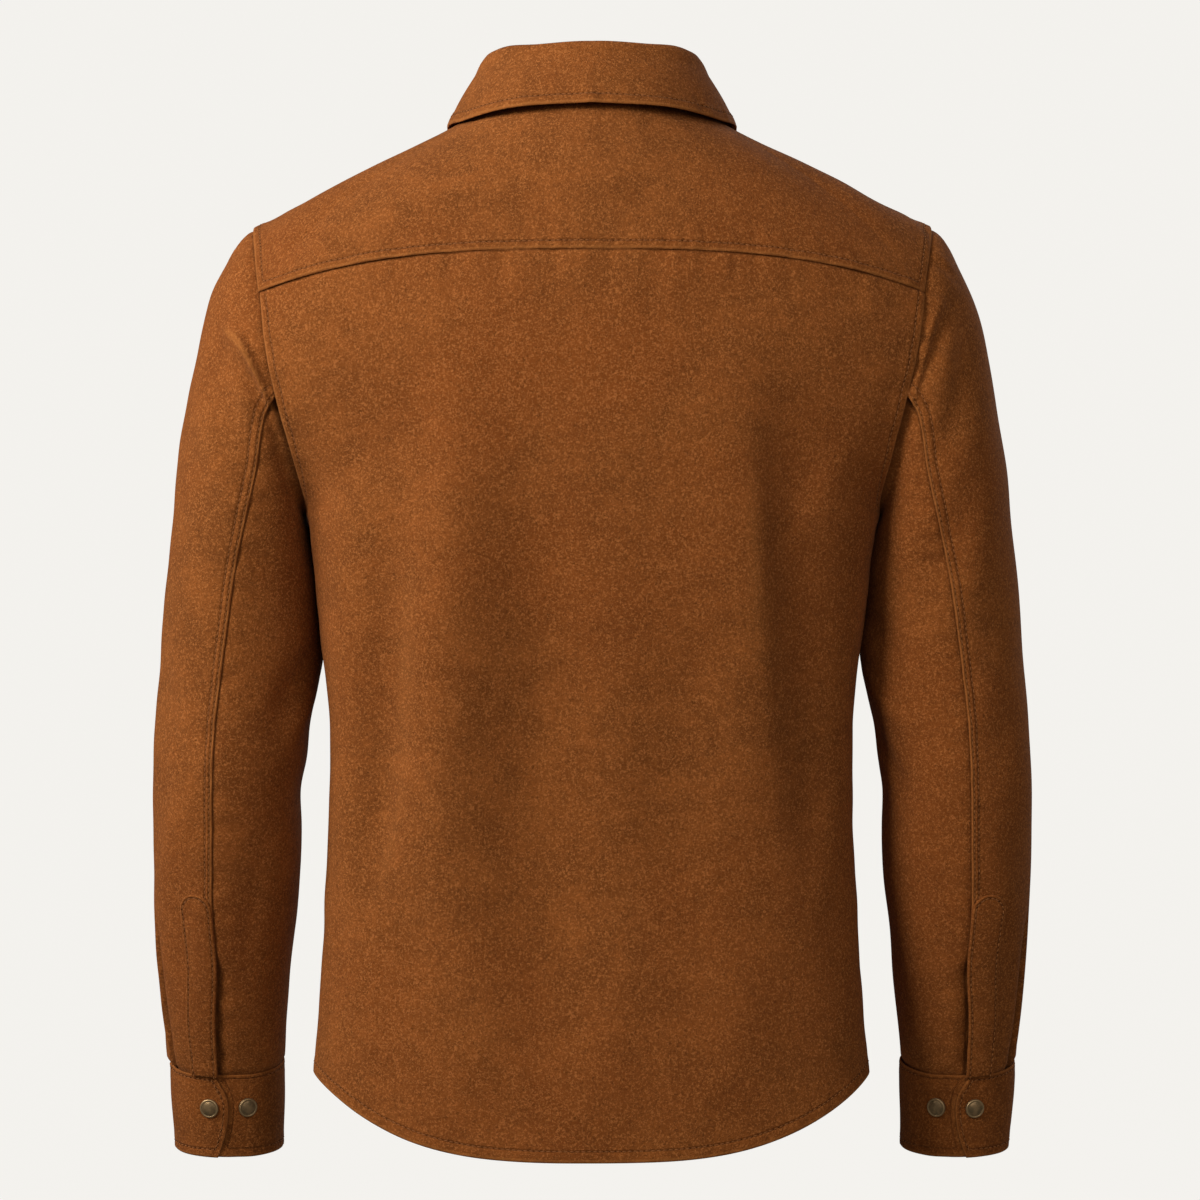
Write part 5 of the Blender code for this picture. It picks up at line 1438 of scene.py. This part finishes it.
for side, mirror, seed in SIDES:
    across = panel_lines(PLACKET_WIDTH, PLACKET_LINES, PLACKET_LINES, PLACKET_WIDTH_SPACING)
    arch = 1 - np.sqrt(np.maximum(1 - (2 * across - 1) ** 2, 0.0))
    down_lines = panel_lines(PLACKET_LENGTH, PLACKET_LINES, END_LINES, PLACKET_SPACING)
    rows = []
    for share in down_lines:
        steps = PLACKET_TOP_STEP + PLACKET_ROUND * arch * (1 - share) + share * PLACKET_STEPS
        seams = read(SLEEVE_RINGS, "back_seam", steps)
        rows.append(np.stack([sleeve_point(s, a) for s, a in zip(steps, seams - PLACKET_ANGLE * across)]))
    placket_steps = PLACKET_TOP_STEP + down_lines * PLACKET_STEPS
    placket = Cloth(np.stack(rows), section_middles(placket_steps))
    steps, seams = placket_steps[:, None], read(SLEEVE_RINGS, "back_seam", placket_steps)[:, None]
    angles = seams - PLACKET_ANGLE * across
    placket.height += PLACKET_LIFT + crease_depth(np.broadcast_to(steps, angles.shape), angles)
    run_in = ease((CUFF_TOP_STEP - steps) / 0.5)
    placket.fold(SLEEVE_FOLDS[side], angles * ANGLE_RUN, -steps * STEP_RUN, run_in)
    edge = placket.edges("top", "first", "last")
    placket.lap(edge, PLACKET_ROW, rise=0.0003, beyond=0.003)
    # The placket's lip carries a weaker painted highlight.
    placket.painted_light_and_shade *= PLACKET_HIGHLIGHT_SHARE
    placket.under(placket.edge("foot"), drop=0.0004)
    placket.pucker(edge, placket.grid[..., 2], seed=91 + seed, high=0.0002, reach=0.006, wavelength=0.014)
    for label in ("last", "first"):
        placket.sew(edge, PLACKET_ROW, label, first=0.03, last=1.0)
    placket.sew(edge, PLACKET_ROW, "top", first=0.12, last=0.88)
    finish_cloth(f"placket_{side}_suede", f"placket_{side}", placket, sleeve_suede,
                 mirror=mirror)


# ------------------------------------------------------------------------------------------------
# Cuffs: doubled straight bands of suede. The rounded tab end lies over the other, and two snaps close it.
# Each is sewn over the sleeve's end, and topstitched along both edges and round the tab.
CUFF_BOTTOM_STEP = 18.0
CUFF_TAB_ROUND = 14.0
CUFF_UNDERLAP = 44.0
CUFF_STEPS = CUFF_BOTTOM_STEP - CUFF_TOP_STEP
CUFF_HEIGHT, CUFF_HEIGHT_SPACING = 0.060, 0.0026
CUFF_LENGTH, CUFF_SPACING = 0.232, 0.0027
CUFF_LAYER = 0.0018
CUFF_LAYER_GAP = 0.0005
CUFF_TOP_TAPER = 0.0009
CUFF_TAPER_REACH = 0.010
CUFF_TOP_ROW = 0.0030
CUFF_TAB_ROW = 0.0036
CUFF_EDGE_ROW = 0.0060
CUFF_LINES = (0.0004, 0.0009, 0.0016, 0.0024, 0.0030, 0.0038, 0.0050, 0.0060, 0.0070, 0.0086)
CUFF_COLOUR = (0.186, 0.0535, 0.0098)
CUFF_SNAP_ANGLES = {"tab": 75.0, "inner": 116.0}
SNAP_DIMPLE, SNAP_DIMPLE_REACH = 0.0005, 0.008
# Points within this angle of a snap are of its own layer of the overlap.
SNAP_LAYER_ANGLE = 60.0

cuff_suede = suede_finish("suede_cuff", colour=CUFF_COLOUR)
cuff_places = {}
for side, mirror, seed in SIDES:
    steps = CUFF_TOP_STEP + panel_lines(CUFF_HEIGHT, CUFF_LINES, CUFF_LINES, CUFF_HEIGHT_SPACING) * CUFF_STEPS
    shares = (steps - CUFF_TOP_STEP) / CUFF_STEPS
    tab = 360.0 + CUFF_TAB_ANGLE - CUFF_TAB_ROUND * (2 * shares - 1) ** 2
    start = CUFF_TAB_ANGLE - CUFF_UNDERLAP
    round_lines = panel_lines(CUFF_LENGTH, END_LINES, CUFF_LINES, CUFF_SPACING)
    angles = start + (tab[:, None] - start) * round_lines
    cuff = Cloth(np.stack([sleeve_point(s, row) for s, row in zip(steps, angles)]), section_middles(steps))
    over = ease((angles - CUFF_TAB_ANGLE - CUFF_STEP_START) / CUFF_STEP_ANGLE)
    cuff.height -= (1 - over) * (CUFF_LAYER + CUFF_LAYER_GAP)
    cuff.swell(wavelength=0.050, high=0.0004, seed=95 + seed)
    edge_top, edge_foot, edge_tab = cuff.edge("top"), cuff.edge("foot"), cuff.edge("last")
    edge = np.minimum(edge_top * CUFF_EDGE_ROW / CUFF_TOP_ROW, edge_foot)
    edge = np.minimum(edge, edge_tab * CUFF_EDGE_ROW / CUFF_TAB_ROW)
    cuff.lap(edge, CUFF_EDGE_ROW, rise=0.0003, beyond=0.004)
    cuff.height -= CUFF_TOP_TAPER * (1 - ease(edge_top / CUFF_TAPER_REACH))
    cuff.pucker(edge, angles * ANGLE_RUN, seed=96 + seed, high=0.00025, reach=0.008, wavelength=0.014)
    snaps = {}
    for label, snap_angle in CUFF_SNAP_ANGLES.items():
        turned = snap_angle + (360.0 if snap_angle < CUFF_TAB_ANGLE else 0.0)
        row = int(np.argmin(np.abs(steps - (CUFF_TOP_STEP + CUFF_BOTTOM_STEP) / 2)))
        column = int(np.argmin(np.abs(angles[row] - turned)))
        apart = np.linalg.norm(cuff.grid - cuff.grid[row, column], axis=2)
        same_layer = np.abs(angles - turned) < SNAP_LAYER_ANGLE
        cuff.height -= SNAP_DIMPLE * bell(apart / SNAP_DIMPLE_REACH) * same_layer
        snaps[label] = (row, column)
    cuff.sew(edge, CUFF_EDGE_ROW, "top", first=0.23, last=0.985)
    cuff.sew(edge, CUFF_EDGE_ROW, "foot", first=0.23, last=0.975)
    cuff.sew(edge, CUFF_EDGE_ROW, "last", first=0.16, last=0.82)
    points, facing = mirrored(cuff.points(), mirror), mirrored(cuff.out, mirror)
    for label, place in snaps.items():
        cuff_places[f"cuff_snap_{side}_{label}"] = (points[place], facing[place])
    finish_cloth(f"cuff_{side}_suede", f"cuff_{side}", cuff, cuff_suede,
                 DOUBLED_THICKNESS, mirror)


# ------------------------------------------------------------------------------------------------
# Snaps: pressed brass caps, low domes with a rolled rim, aged to a dark olive bronze.
# Two close each cuff and six the front band; those on the cuffs sit in the dimple that they press into the
# suede.
SNAP_SEGMENTS = 48
FRONT_SNAP_HEIGHTS = (-0.135, -0.235, -0.335, -0.435, -0.535, -0.625)
# The cap's section, from the foot of its rim up over the rim and the dome to its middle: radius and height.
SNAP_SECTION = (
    (0.0058, -0.0008), (0.0066, -0.0006), (0.0068, 0.0002), (0.0068, 0.0009), (0.0066, 0.0014),
    (0.0062, 0.0017), (0.0058, 0.0018), (0.0055, 0.0016), (0.0053, 0.0015), (0.0048, 0.0018),
    (0.0040, 0.0021), (0.0030, 0.0024), (0.0018, 0.0026), (0.0008, 0.00265),
)
SNAP_SEAT = 0.0003
RIM_RADIUS, RIM_WEAR_WIDTH = 0.0061, 0.0006
CROWN_WEAR, CROWN_WEAR_WIDTH = 0.5, 0.0022
BRASS_COLOUR = (0.290, 0.185, 0.090, 1.0)
TARNISH_COLOUR = (0.165, 0.115, 0.058, 1.0)
RUBBED_BRASS_COLOUR = (0.440, 0.300, 0.150, 1.0)


def brass_finish():
    """Old brass: a brown-green tarnish that is rubbed back to warm metal on the rim and the crown."""
    finish = Finish("aged_brass_cap")
    place = finish.node("ShaderNodeTexCoord", None, None, "Object")
    cloud = finish.noise(place, scale=320.0, detail=5.0, roughness=0.6)
    pit = finish.noise(place, scale=1500.0, detail=3.0, roughness=0.6)
    edge = finish.node("ShaderNodeAttribute", {"attribute_name": "worn"}, None, "Fac")
    tarnish = finish.spread(cloud, 0.36, 0.66)
    metal = finish.mix(tarnish, BRASS_COLOUR, TARNISH_COLOUR)
    metal = finish.mix(edge * 0.75, metal, RUBBED_BRASS_COLOUR)
    bump = finish.bump(pit, strength=0.35, distance=0.0002)
    values = {"Base Color": metal, "Metallic": 0.85, "Roughness": cloud * 0.25 + 0.34, "Normal": bump}
    return finish.done(finish.node("ShaderNodeBsdfPrincipled", None, values, "BSDF"))


brass = brass_finish()


def make_snap(name, point, facing):
    """A cap seated on the suede, turned to face as the suede does."""
    turn = Vector(facing).to_track_quat("Z", "Y")
    around = np.linspace(0.0, 2 * math.pi, SNAP_SEGMENTS, endpoint=False)
    verts, worn = [], []
    for radius, height in SNAP_SECTION:
        verts += [(radius * math.cos(a), radius * math.sin(a), height) for a in around]
        rim = bell((radius - RIM_RADIUS) / RIM_WEAR_WIDTH)
        worn += [rim + CROWN_WEAR * bell(radius / CROWN_WEAR_WIDTH)] * SNAP_SEGMENTS
    verts += [(0.0, 0.0, SNAP_SECTION[-1][1]), (0.0, 0.0, SNAP_SECTION[0][1])]
    worn += [CROWN_WEAR, 0.0]
    faces = []
    last = len(SNAP_SECTION) - 1
    for k in range(SNAP_SEGMENTS):
        after = (k + 1) % SNAP_SEGMENTS
        for ring in range(last):
            a, b = ring * SNAP_SEGMENTS, (ring + 1) * SNAP_SEGMENTS
            faces.append((a + k, a + after, b + after, b + k))
        faces.append((last * SNAP_SEGMENTS + k, last * SNAP_SEGMENTS + after, len(verts) - 2))
        faces.append((after, k, len(verts) - 1))
    seat = Vector(point) + turn @ Vector((0.0, 0.0, SNAP_SEAT))
    mesh = bpy.data.meshes.new(name)
    mesh.from_pydata([seat + turn @ Vector(v) for v in verts], [], faces)
    layer = mesh.attributes.new("worn", "FLOAT", "POINT")
    layer.data.foreach_set("value", np.array(worn, np.float32))
    mesh.materials.append(brass)
    mesh.shade_smooth()
    return add_object(name, mesh)


snap_places = dict(cuff_places)
band_points = band.points()
middle_column = band_points.shape[1] // 2
for number, height in enumerate(FRONT_SNAP_HEIGHTS, 1):
    row = int(np.argmin(np.abs(band_points[:, middle_column, 2] - height)))
    snap_places[f"front_snap_{number}"] = (band_points[row, middle_column], band.out[row, middle_column])
for node, (point, facing) in snap_places.items():
    snap = make_snap(f"{node}_cap", point, facing)
    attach(snap, "root")
    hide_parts(node)


# ------------------------------------------------------------------------------------------------
# Studio: a pale sweep of floor and wall well behind and below. A large soft light and a raking one come from
# the wearer's left and above, with a fill from behind on the right and a light for the front. The camera
# stands behind the jacket, level with its middle.
FLOOR_HEIGHT = -1.50
WALL_PLACE = -4.00
WALL_TOP = 5.0
SWEEP_RADIUS = 0.90
STAGE_HALF_WIDTH = 7.0
STAGE_FRONT = 8.0
CAMERA_PLACE = (-0.0056, 3.0, -0.3444)
CAMERA_LENS = 128.571
PAPER_COLOUR = (0.06, 0.06, 0.06, 1.0)
PAPER_GLOW = (0.880, 0.865, 0.832, 1.0)
AIR_COLOUR = (1.0, 0.95, 0.88, 1.0)
AIR_STRENGTH = 0.17
Light = namedtuple("Light", "name place aim width height power spread colour")
LIGHTS = (
    Light("key_light", (1.90, 1.95, 1.15), (-0.20, 0.05, 0.04), 1.1, 1.3, 9.4, 58.0, (1.0, 0.98, 0.95)),
    Light("side_light", (2.40, 0.35, 1.00), (0.1, 0.0, -0.20), 0.8, 1.2, 42.0, 180.0, (1.0, 0.98, 0.95)),
    Light("fill_light", (-1.0, 3.1, 0.95), (-0.05, 0.05, -0.10), 2.0, 2.0, 24.5, 180.0, (1.0, 0.97, 0.95)),
    Light("front_light", (-1.4, -2.6, 0.9), (0.0, 0.0, -0.35), 2.0, 2.0, 30.0, 180.0, (1.0, 0.98, 0.96)),
)

turns = [math.radians(7.5 * k) for k in range(13)]
profile = [(STAGE_FRONT, FLOOR_HEIGHT)]
profile += [(WALL_PLACE + SWEEP_RADIUS * (1 - math.sin(a)), FLOOR_HEIGHT + SWEEP_RADIUS * (1 - math.cos(a)))
            for a in turns]
profile += [(WALL_PLACE, WALL_TOP)]
corners = [(sign * STAGE_HALF_WIDTH, y, z) for y, z in profile for sign in (-1, 1)]
strips = [(2 * k, 2 * k + 2, 2 * k + 3, 2 * k + 1) for k in range(len(profile) - 1)]
paper = Finish("studio_paper")
paper_inputs = {
    "Base Color": PAPER_COLOUR,
    "Roughness": 1.0,
    "Specular IOR Level": 0.0,
    "Emission Color": PAPER_GLOW,
    "Emission Strength": 1.0,
}
stage_mesh = bpy.data.meshes.new("studio_sweep")
stage_mesh.from_pydata(corners, [], strips)
stage_mesh.materials.append(paper.done(paper.node("ShaderNodeBsdfPrincipled", None, paper_inputs, "BSDF")))
stage_mesh.shade_smooth()
stage = add_object("studio_sweep", stage_mesh)
stage.visible_diffuse = False
stage.visible_glossy = False

for light in LIGHTS:
    lamp = bpy.data.lights.new(light.name, "AREA")
    lamp.shape = "RECTANGLE"
    lamp.size, lamp.size_y = light.width, light.height
    lamp.energy = light.power
    lamp.spread = math.radians(light.spread)
    lamp.color = light.colour
    item = add_object(light.name, lamp)
    item.location = light.place
    item.rotation_euler = (Vector(light.aim) - Vector(light.place)).to_track_quat("-Z", "Y").to_euler()

world = bpy.data.worlds.new("studio_air")
world.use_nodes = True
air = world.node_tree.nodes["Background"].inputs
air["Color"].default_value = AIR_COLOUR
air["Strength"].default_value = AIR_STRENGTH
bpy.context.scene.world = world
bpy.context.scene.view_settings.view_transform = "Standard"

lens = bpy.data.cameras.new("studio_camera")
lens.lens = CAMERA_LENS
lens.sensor_width = 36.0
lens.clip_end = 60.0
camera = add_object("studio_camera", lens)
camera.location = CAMERA_PLACE
camera.rotation_euler = (math.radians(90.0), 0.0, math.radians(180.0))
bpy.context.scene.camera = camera
